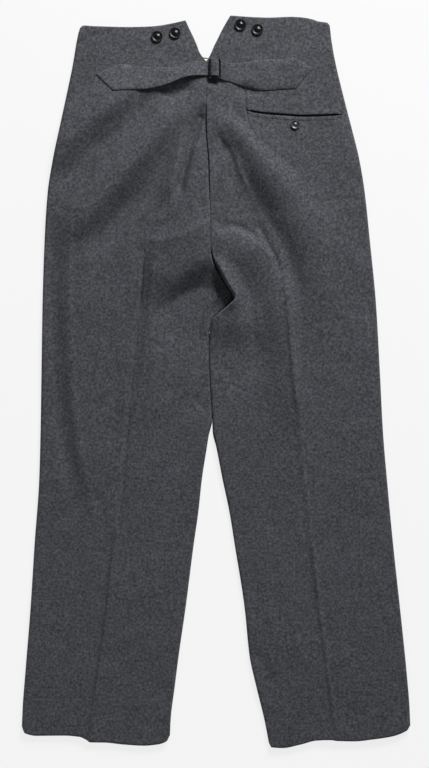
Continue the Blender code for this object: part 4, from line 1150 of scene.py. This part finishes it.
# %% Right strap
right_x = np.linspace(RIGHT_STRAP[1].x, RIGHT_STRAP[-1].x, RIGHT_STRAP_ROWS)
grid_x, grid_y, grid_t = strap_grid(RIGHT_STRAP, right_x)
lying = back_height(grid_x, grid_y, "right") + STRAP_LIFT + 0.5 * STRAP_CLOTH
rise = ease((RIGHT_STRAP_RISE_FROM - grid_x) / (RIGHT_STRAP_RISE_FROM - RIGHT_STRAP_RISE_TO))
right_flat = np.stack([grid_x, grid_y, lying + (STRAP_AT_BUCKLE - lying) * rise], axis=-1)
arch = LOOP_ARCH * (1.0 - grid_t) ** 2
loop_rows = []
loop_top = max(row.z for row in STRAP_LOOP)
for row in STRAP_LOOP:
    top_share = ease((row.z - STRAP_LOOP[-1].z) / (loop_top - STRAP_LOOP[-1].z))
    loop_y = LOOP_LOW + (LOOP_HIGH - LOOP_LOW) * grid_t + arch * top_share
    loop_rows.append(np.stack([np.full_like(grid_t, row.x), loop_y, np.full_like(grid_t, row.z)], axis=-1))
loop_end = along_curve(np.concatenate([np.array(loop_rows), right_flat[:1]]), LOOP_ROWS)
right_middle = np.concatenate([loop_end[:-1], right_flat])
right_normal = np.cross(np.gradient(right_middle, axis=0), np.gradient(right_middle, axis=1))
right_normal /= np.linalg.norm(right_normal, axis=-1, keepdims=True)
half_cloth = 0.5 * STRAP_CLOTH * right_normal
right_width = np.linalg.norm(right_middle[:, -1:] - right_middle[:, :1], axis=-1)
right_sewn = ease((right_middle[:, :1, 0] - RIGHT_STRAP_SEWN_FROM) / SEWN_BLEND)
right_face = right_middle + half_cloth - right_normal * strap_dent(grid_t, right_width, right_sewn)[..., None]
strap_right = cloth_piece("strap_right_wool", right_face, right_middle - half_cloth, wool, "wool")
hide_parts("strap_right")
print("right strap", len(right_middle), "rows, its loop", loop_top, "mm high")

# %% [markdown]
# ## The hip pocket's jets and bag
# Each jet is a folded strip, so its edge at the mouth is round and its outer edge is seamed flush with the
# panel. The pocket's bag shows in the mouth as a dark line: its cotton is painted near black, as painted
# shade.

# %% Pocket
PocketStrip = namedtuple("PocketStrip", "name low high lift thickness crown finish slot")
JET_LIFT = 0.1
BAG_OVERLAP, BAG_BELOW, BAG_CLOTH = 0.6, 0.9, 0.5
BAG_EDGE = MOUTH_HALF_GAP + BAG_OVERLAP
POCKET_STRIPS = (
    PocketStrip(
        "pocket_upper_jet_wool", MOUTH_HALF_GAP, MOUTH_HALF_GAP + UPPER_JET_WIDTH,
        JET_LIFT, JET_CLOTH, 0.25, wool, "wool",
    ),
    PocketStrip(
        "pocket_lower_jet_wool", -MOUTH_HALF_GAP - LOWER_JET_WIDTH, -MOUTH_HALF_GAP,
        JET_LIFT, JET_CLOTH, 0.3, wool, "wool",
    ),
    # The bag's strip is painted near black: painted shade in the mouth.
    PocketStrip("pocket_bag_painted_shade", -BAG_EDGE, BAG_EDGE, -BAG_BELOW, BAG_CLOTH, 0.0, black_cotton_painted_shade, None),
)
STRIP_ALONG, STRIP_ACROSS = 141, 9


def pocket_strip(row):
    """A strip along the mouth between two offsets from its line, crowned by crown * (1 - (2t - 1)^2)."""
    x = np.linspace(POCKET_MOUTH[0].x, POCKET_MOUTH[-1].x, STRIP_ALONG)[:, None]
    t = np.linspace(0.0, 1.0, STRIP_ACROSS)
    grid_y = read(POCKET_MOUTH, x, "y") + (row.low + (row.high - row.low) * t) * mouth_share(x)
    grid_x = np.broadcast_to(x, grid_y.shape)
    panel = back_height(grid_x, grid_y, "right") + pocket_dip(grid_x, grid_y)
    under = np.stack([grid_x, grid_y, panel - JET_SEAT + row.lift], axis=-1)
    top = under + np.array([0.0, 0.0, row.thickness])
    top[..., 2] += row.crown * (1.0 - (2.0 * t - 1.0) ** 2)
    return cloth_piece(row.name, top, under, row.finish, row.slot)


upper_jet, lower_jet, bag = (pocket_strip(row) for row in POCKET_STRIPS)
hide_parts("pocket_upper_jet")
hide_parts("pocket_lower_jet")
print("pocket", upper_jet.name, lower_jet.name, bag.name)

# %% [markdown]
# ## The buckle
# A cinch buckle is a loop of steel wire with a bar across its middle. Its path is a rectangle with round
# corners, and a circle is carried along it. The enamel is worn at the lower corners, which an attribute
# marks.

# %% Buckle
BUCKLE_WIRE = 1.15
BUCKLE_BARS_X = (-9.7, -2.0, 5.9)
BUCKLE_ENDS_Y = (452.9, 481.2)
BUCKLE_MIDDLE_Z = 12.7
BUCKLE_CORNER = 2.4
BAR_THINNER = 0.8
WEAR_AT_CORNER, WEAR_REACH = 1.05, 3.0
WIRE_SIDES = 12
CORNER_POINTS, BAR_POINTS = 9, 9


# %% A wire along a path
def wire_points(path, radius, closed, up=(0.0, 0.0, 1.0)):
    """A circle carried along a path: its centre plus radius * (cos a * side + sin a * over) at angles a."""
    ahead = np.roll(path, -1, axis=0) if closed else np.concatenate([path[1:], path[-1:]])
    behind = np.roll(path, 1, axis=0) if closed else np.concatenate([path[:1], path[:-1]])
    tangent = ahead - behind
    tangent /= np.linalg.norm(tangent, axis=-1, keepdims=True)
    side = np.cross(tangent, up)
    side /= np.linalg.norm(side, axis=-1, keepdims=True)
    over = np.cross(side, tangent)
    angle = np.linspace(0.0, 2.0 * np.pi, WIRE_SIDES, endpoint=False)[:, None]
    ring = np.cos(angle) * side[:, None, :] + np.sin(angle) * over[:, None, :]
    return path[:, None, :] + np.reshape(radius, (-1, 1, 1)) * ring


def ring_faces(rows, sides, closed, start=0):
    """Quads between neighbouring rings, and a cap at each end of an open tube."""
    index = np.arange(rows * sides).reshape(rows, sides) + start
    after = np.roll(index, -1, axis=1)
    here, following = (index, np.roll(index, -1, axis=0)) if closed else (index[:-1], index[1:])
    after_here, after_following = (after, np.roll(after, -1, axis=0)) if closed else (after[:-1], after[1:])
    quads = np.stack([here, after_here, after_following, following], axis=-1).reshape(-1, 4).tolist()
    return quads if closed else quads + [index[0][::-1].tolist(), index[-1].tolist()]


def rounded_rectangle(left, right, low, high, corner, z):
    """Four quarter circles of the corner's radius, joined by straight runs."""
    turn = np.linspace(0.0, 0.5 * np.pi, CORNER_POINTS)
    angle = np.concatenate([turn + quarter * 0.5 * np.pi for quarter in range(4)])
    centre_x = np.repeat([right - corner, left + corner, left + corner, right - corner], CORNER_POINTS)
    centre_y = np.repeat([high - corner, high - corner, low + corner, low + corner], CORNER_POINTS)
    x, y = centre_x + corner * np.cos(angle), centre_y + corner * np.sin(angle)
    return np.stack([x, y, 0.0 * angle + z], axis=-1)


# %% Frame and bar
frame_path = rounded_rectangle(
    BUCKLE_BARS_X[0], BUCKLE_BARS_X[2], *BUCKLE_ENDS_Y, BUCKLE_CORNER, BUCKLE_MIDDLE_Z
)
bar_y = np.linspace(*BUCKLE_ENDS_Y, BAR_POINTS)
bar_path = np.stack([0.0 * bar_y + BUCKLE_BARS_X[1], bar_y, 0.0 * bar_y + BUCKLE_MIDDLE_Z], axis=-1)
frame_points = wire_points(frame_path, BUCKLE_WIRE, True)
bar_points = wire_points(bar_path, BAR_THINNER * BUCKLE_WIRE, False)
buckle_points = np.concatenate([frame_points.reshape(-1, 3), bar_points.reshape(-1, 3)])
buckle_faces = ring_faces(len(frame_path), WIRE_SIDES, True)
buckle_faces += ring_faces(len(bar_path), WIRE_SIDES, False, len(frame_path) * WIRE_SIDES)
buckle = add_mesh("buckle_steel", buckle_points, buckle_faces, enamelled_steel)
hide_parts("buckle")
corners = np.array([(x, BUCKLE_ENDS_Y[0]) for x in (BUCKLE_BARS_X[0], BUCKLE_BARS_X[2])])
from_corner = np.linalg.norm(buckle_points[:, None, :2] - corners, axis=-1).min(-1)
wear = buckle.data.attributes.new("wear", "FLOAT", "POINT")
worn = np.clip(WEAR_AT_CORNER - from_corner / WEAR_REACH, 0.0, 1.0)
wear.data.foreach_set("value", worn.astype(np.float32))
print("buckle points", len(buckle_points), "of which worn", int((worn > 0).sum()))

# %% [markdown]
# ## Buttons
# The photo shows one round highlight above the centre of each brace button and a thin crescent along its
# lower rim, and no holes. That is a button with a raised rim, a ring-shaped hollow and a domed middle, sewn
# on by a shank behind. Its surface is one turned profile, in shares of its radius. The hollow's outer wall is
# wider on the pocket's button, where the crescent is broader. Thread is wrapped round the shank.

# %% Button tables
Button = namedtuple("Button", "name x y radius wall finish")
BUTTONS = (
    Button("brace_button_1", -88.5, 516.9, 8.75, 0.13, polished_black),
    Button("brace_button_2", -61.5, 522.2, 8.75, 0.13, polished_black),
    Button("brace_button_3", 36.6, 535.1, 8.75, 0.12, polished_black),
    Button("brace_button_4", 62.3, 527.6, 8.75, 0.12, polished_black),
    Button("pocket_button", 118.4, 383.7, 7.0, 0.25, rubbed_black),
)
Turn = namedtuple("Turn", "r z")
BUTTON_BACK = rows_of(Turn, (
    (0.0, 0.02), (0.42, 0.02), (0.74, 0.04), (0.94, 0.13), (1.0, 0.26), (0.99, 0.38), (0.94, 0.43),
))
BUTTON_FACE = rows_of(Turn, (
    (0.86, 0.435), (0.81, 0.415), (0.77, 0.335), (0.73, 0.265), (0.67, 0.24), (0.50, 0.24), (0.43, 0.27),
    (0.36, 0.34), (0.27, 0.41), (0.14, 0.46), (0.0, 0.475),
))
WALL_FOOT = 0.73
PROFILE_ROWS = 64
BUTTON_SIDES = 72
BUTTON_LIFT = 0.2
BUTTON_FLATTER = 0.68  # the profile's heights are this much lower than its table
SMALLEST_RING = 0.01
RIM_FROM, RIM_EASE = 0.82, 0.1
THREAD = 0.45
THREAD_TURNS, SHANK_SHARE, THREAD_OVERLAP = 5, 0.26, (-0.25, 0.1)
print("buttons", len(BUTTONS), "of", [2 * b.radius for b in BUTTONS], "mm")


# %% Turned buttons
def button_frame(button):
    """The button's centre on its panel, and its east, north and up directions there."""
    side = "left" if button.x < 0 else "right"
    reach = 0.5 * button.radius
    at_x = button.x + reach * np.array([0.0, 1.0, -1.0, 0.0, 0.0])
    at_y = button.y + reach * np.array([0.0, 0.0, 0.0, 1.0, -1.0])
    height = back_height(at_x, at_y, side)
    up = np.array([height[2] - height[1], height[4] - height[3], 2.0 * reach])
    up /= np.linalg.norm(up)
    east = np.cross([0.0, 1.0, 0.0], up)
    east /= np.linalg.norm(east)
    north = np.cross(up, east)
    return np.array([button.x, button.y, height[0]]) + BUTTON_LIFT * up, east, north, up


def button_profile(button):
    """The back as it is, and the face with the hollow's outer wall as wide as this button's wall: its radii
    go from the rim inwards in that share, and the radii inside the wall's foot shrink or grow to meet it."""
    back = np.array([(row.r, row.z) for row in BUTTON_BACK])
    face = np.array([(row.r, row.z) for row in BUTTON_FACE])
    rim, r = BUTTON_FACE[0].r, face[:, 0]
    wall = rim - (rim - r) * button.wall / (rim - WALL_FOOT)
    face[:, 0] = np.where(r > WALL_FOOT, wall, r * (rim - button.wall) / WALL_FOOT)
    return np.concatenate([back, face])


def add_button(button):
    """The profile turned round the button's axis: centre + r cos a * east + r sin a * north + z * up."""
    centre, east, north, up = button_frame(button)
    profile = along_curve(button_profile(button), PROFILE_ROWS)
    profile = profile[1:-1] * button.radius * [1.0, BUTTON_FLATTER]
    angle = np.linspace(0.0, 2.0 * np.pi, BUTTON_SIDES, endpoint=False)
    x = np.maximum(profile[:, :1], SMALLEST_RING) * np.cos(angle)
    y = np.maximum(profile[:, :1], SMALLEST_RING) * np.sin(angle)
    z = np.repeat(profile[:, 1:], BUTTON_SIDES, axis=1)
    points = centre + x[..., None] * east + y[..., None] * north + z[..., None] * up
    faces = ring_faces(len(profile), BUTTON_SIDES, False)
    made = add_mesh(f"{button.name}_polished", points.reshape(-1, 3), faces, button.finish)
    rim = made.data.attributes.new("rim", "FLOAT", "POINT")
    outward = np.repeat(ease((profile[:, :1] / button.radius - RIM_FROM) / RIM_EASE), BUTTON_SIDES, axis=1)
    rim.data.foreach_set("value", outward.ravel().astype(np.float32))
    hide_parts(button.name)
    return made


def add_button_threads(button):
    """The thread wrapped round the shank, between the button and the cloth: a coil."""
    centre, east, north, up = button_frame(button)
    turn = np.linspace(0.0, 2.0 * np.pi * THREAD_TURNS, 24 * THREAD_TURNS + 1)
    wrap = SHANK_SHARE * button.radius * np.stack([np.cos(turn), np.sin(turn)], axis=-1)
    low, high = THREAD_OVERLAP
    rise = np.linspace(low, BUTTON_BACK[0].z * button.radius + high, len(turn))
    path = centre + wrap[:, :1] * east + wrap[:, 1:] * north + rise[:, None] * up
    ring = wire_points(path, 0.5 * THREAD, False, up).reshape(-1, 3)
    return add_mesh(f"{button.name}_thread", ring, ring_faces(len(path), WIRE_SIDES, False), black_thread)


for button in BUTTONS:
    made = add_button(button)
    add_button_threads(button)
    print(made.name, "height", round(max(corner[2] for corner in made.bound_box) / MM, 1), "mm")

# %% [markdown]
# ## Stitches
# Machine stitches are short rounded threads that dip into the cloth at both ends. A row of them is one mesh:
# each stitch is five rings of six points, placed along a line that lies on the cloth. The wool's nap half
# covers them, so they sit low and their thread is nearly the cloth's colour.

# %% Stitch rows
Stitch = namedtuple("Stitch", "pitch length radius sink")
MACHINE = Stitch(2.9, 2.4, 0.24, 0.12)
HEM_PRICK = Stitch(8.5, 1.6, 0.2, 0.16)
PURL = Stitch(0.7, 1.5, 0.3, 0.05)
STITCH_RINGS = np.array([-1.0, -0.72, 0.0, 0.72, 1.0])
STITCH_SIDES = 6
STITCH_TAPER, STITCH_DIP = 0.85, 2.2
AIM_STEP = 0.3


def stitch_frames(line, pitch):
    """Places at even steps along a line of points, with the line's direction at each."""
    step = np.linalg.norm(np.diff(line, axis=0), axis=1)
    run = np.concatenate([[0.0], np.cumsum(step)])
    at = np.arange(0.5 * pitch, run[-1], pitch)
    place = np.stack([np.interp(at, run, line[:, k]) for k in range(3)], axis=-1)
    ahead = np.stack([np.interp(at + AIM_STEP, run, line[:, k]) for k in range(3)], axis=-1)
    behind = np.stack([np.interp(at - AIM_STEP, run, line[:, k]) for k in range(3)], axis=-1)
    direction = ahead - behind
    return place, direction / np.linalg.norm(direction, axis=-1, keepdims=True)


def add_stitches(name, lines, stitch, finish, crosswise=False):
    """Every stitch of several lines as one mesh: rings along the stitch, with the radius times
    sqrt(1 - taper * s ** 2) at the share s from its middle, and as much lower as they are thinner."""
    places, directions = zip(*(stitch_frames(line, stitch.pitch) for line in lines))
    place, along = np.concatenate(places), np.concatenate(directions)
    up = np.array([0.0, 0.0, 1.0])
    side = np.cross(along, up)
    side /= np.linalg.norm(side, axis=-1, keepdims=True)
    if crosswise:
        along, side = side, -along
    over = np.cross(side, along)
    thin = np.sqrt(1.0 - STITCH_TAPER * STITCH_RINGS**2)
    centre = place[:, None, :] + 0.5 * stitch.length * STITCH_RINGS[:, None] * along[:, None, :]
    centre = centre - (stitch.sink + STITCH_DIP * stitch.radius * (1.0 - thin))[:, None] * over[:, None, :]
    angle = np.linspace(0.0, 2.0 * np.pi, STITCH_SIDES, endpoint=False)[:, None]
    circle = np.cos(angle) * side[:, None, :] + np.sin(angle) * over[:, None, :]
    rings = centre[:, :, None, :] + stitch.radius * thin[:, None, None] * circle[:, None, :, :]
    one = np.array(ring_faces(len(STITCH_RINGS), STITCH_SIDES, False)[:-2])
    last_ring = (len(STITCH_RINGS) - 1) * STITCH_SIDES
    caps = np.array([np.arange(STITCH_SIDES)[::-1], np.arange(STITCH_SIDES) + last_ring])
    starts = np.arange(len(place))[:, None, None] * len(STITCH_RINGS) * STITCH_SIDES
    faces = (one + starts).reshape(-1, 4).tolist() + (caps + starts).reshape(-1, STITCH_SIDES).tolist()
    return add_mesh(name, rings.reshape(-1, 3), faces, finish)


def line_on_grid(face, rows, columns):
    """A line over a sheet of points, at fractional rows and columns."""
    r, c = np.clip(rows, 0, face.shape[0] - 1.001), np.clip(columns, 0, face.shape[1] - 1.001)
    i, j = r.astype(int), c.astype(int)
    s, t = (r - i)[:, None], (c - j)[:, None]
    low = face[i, j] * (1 - t) + face[i, j + 1] * t
    high = face[i + 1, j] * (1 - t) + face[i + 1, j + 1] * t
    return low * (1 - s) + high * s


# %% Stitches of the straps
NARROWEST_STITCHED = 2.2  # in insets: a strap narrower than this has no room for two lines


def strap_stitch_lines(face, width, first_row, last_row):
    """The two lines that run STITCH_INSET in from a strap's edges."""
    rows = np.arange(first_row, last_row, 0.5)
    span = np.interp(rows, np.arange(len(width)), width[:, 0])
    wide_enough = span > NARROWEST_STITCHED * STITCH_INSET
    rows, span = rows[wide_enough], span[wide_enough]
    inset = STITCH_INSET / span * (STRAP_ACROSS - 1)
    return [line_on_grid(face, rows, inset), line_on_grid(face, rows, STRAP_ACROSS - 1 - inset)]


left_lines = strap_stitch_lines(left_face, left_width, 0, LEFT_STRAP_ROWS - 5)
bar_tack_row = (LEFT_STRAP_SEWN_TO - left_x[0]) / (left_x[1] - left_x[0])
tack_columns = np.linspace(1.0, STRAP_ACROSS - 2.0, 40)
left_lines.append(line_on_grid(left_face, np.full_like(tack_columns, bar_tack_row), tack_columns))
right_lines = strap_stitch_lines(right_face, right_width, LOOP_ROWS + 2, len(right_face) - 1)
strap_stitches = add_stitches("strap_stitches", left_lines + right_lines, MACHINE, grey_thread)
print("strap stitches", len(strap_stitches.data.vertices) // (len(STITCH_RINGS) * STITCH_SIDES))

# %% [markdown]
# ## Hem and buttonhole
# The turned-up leg end is held by small hand pricks just below its upper edge. The pocket's buttonhole is a
# short line with purls, which are close stitches across it, on both sides.

# %% Hem pricks and buttonhole
def on_back(x, y, side, lift=0.0):
    """Points on the back panel's face."""
    return np.stack([x, y, back_height(x, y, side) + lift], axis=-1)


HEM_STITCHED = (("left", LEFT_HEM, -284.0, -76.0), ("right", RIGHT_HEM, 86.0, 284.0))
PRICKS_BELOW_EDGE = 4.0
hem_lines = []
for side, hem, first, last in HEM_STITCHED:
    x = np.linspace(first, last, 120)
    hem_lines.append(on_back(x, read(hem, x, "y") + HEM_DEPTH - PRICKS_BELOW_EDGE, side))
hem_pricks = add_stitches("hem_pricks", hem_lines, HEM_PRICK, grey_thread)

BUTTONHOLE = (Edge(118.6, 376.0), Edge(119.6, 365.0))
PURL_OFF, PURL_LIFT = 0.75, 0.12
hole_y = np.linspace(BUTTONHOLE[0].y, BUTTONHOLE[1].y, 24)
hole_x = np.linspace(BUTTONHOLE[0].x, BUTTONHOLE[1].x, 24)
purls = [on_back(hole_x + off, hole_y, "right", PURL_LIFT) for off in (-PURL_OFF, PURL_OFF)]
buttonhole = add_stitches("buttonhole_purls", purls, PURL, grey_thread, True)
print("hem pricks and purls", len(hem_pricks.data.vertices), len(buttonhole.data.vertices), "points")

# %% [markdown]
# ## The cloth's cut sizes
# Each piece of cloth is listed with the size it was cut to, without its turnings, and with the piece it rests
# on. Half its surface is printed beside its cut area.

# %% Sheets
Cut = namedtuple("Cut", "piece width length area rests_on")
CUTS = (
    Cut(backs["left"], 0.262, 1.088, 0.2590, "front_left_wool"),
    Cut(backs["right"], 0.262, 1.098, 0.2560, "front_right_wool"),
    Cut(fronts["left"], 0.256, 1.067, 0.2510, "white_board"),
    Cut(fronts["right"], 0.252, 1.074, 0.2460, "white_board"),
    Cut(facings["left"], 0.188, 0.035, 0.0065, "front_left_wool"),
    Cut(facings["right"], 0.167, 0.035, 0.0058, "front_right_wool"),
    Cut(fly, 0.042, 0.145, 0.0060, "front_left_wool"),
    Cut(strap_left, 0.040, 0.181, 0.0050, "back_left_wool"),
    Cut(strap_right, 0.049, 0.163, 0.0060, "back_right_wool"),
    Cut(upper_jet, 0.010, 0.141, 0.0009, "back_right_wool"),
    Cut(lower_jet, 0.010, 0.141, 0.0008, "back_right_wool"),
    Cut(bag, 0.010, 0.141, 0.0006, "back_right_wool"),
)
for cut in CUTS:
    surface = sum(face.area for face in cut.piece.data.polygons)
    print(cut.piece.name, "half its surface", round(0.5 * surface, 5), "and its cut", cut.area, "sq m")
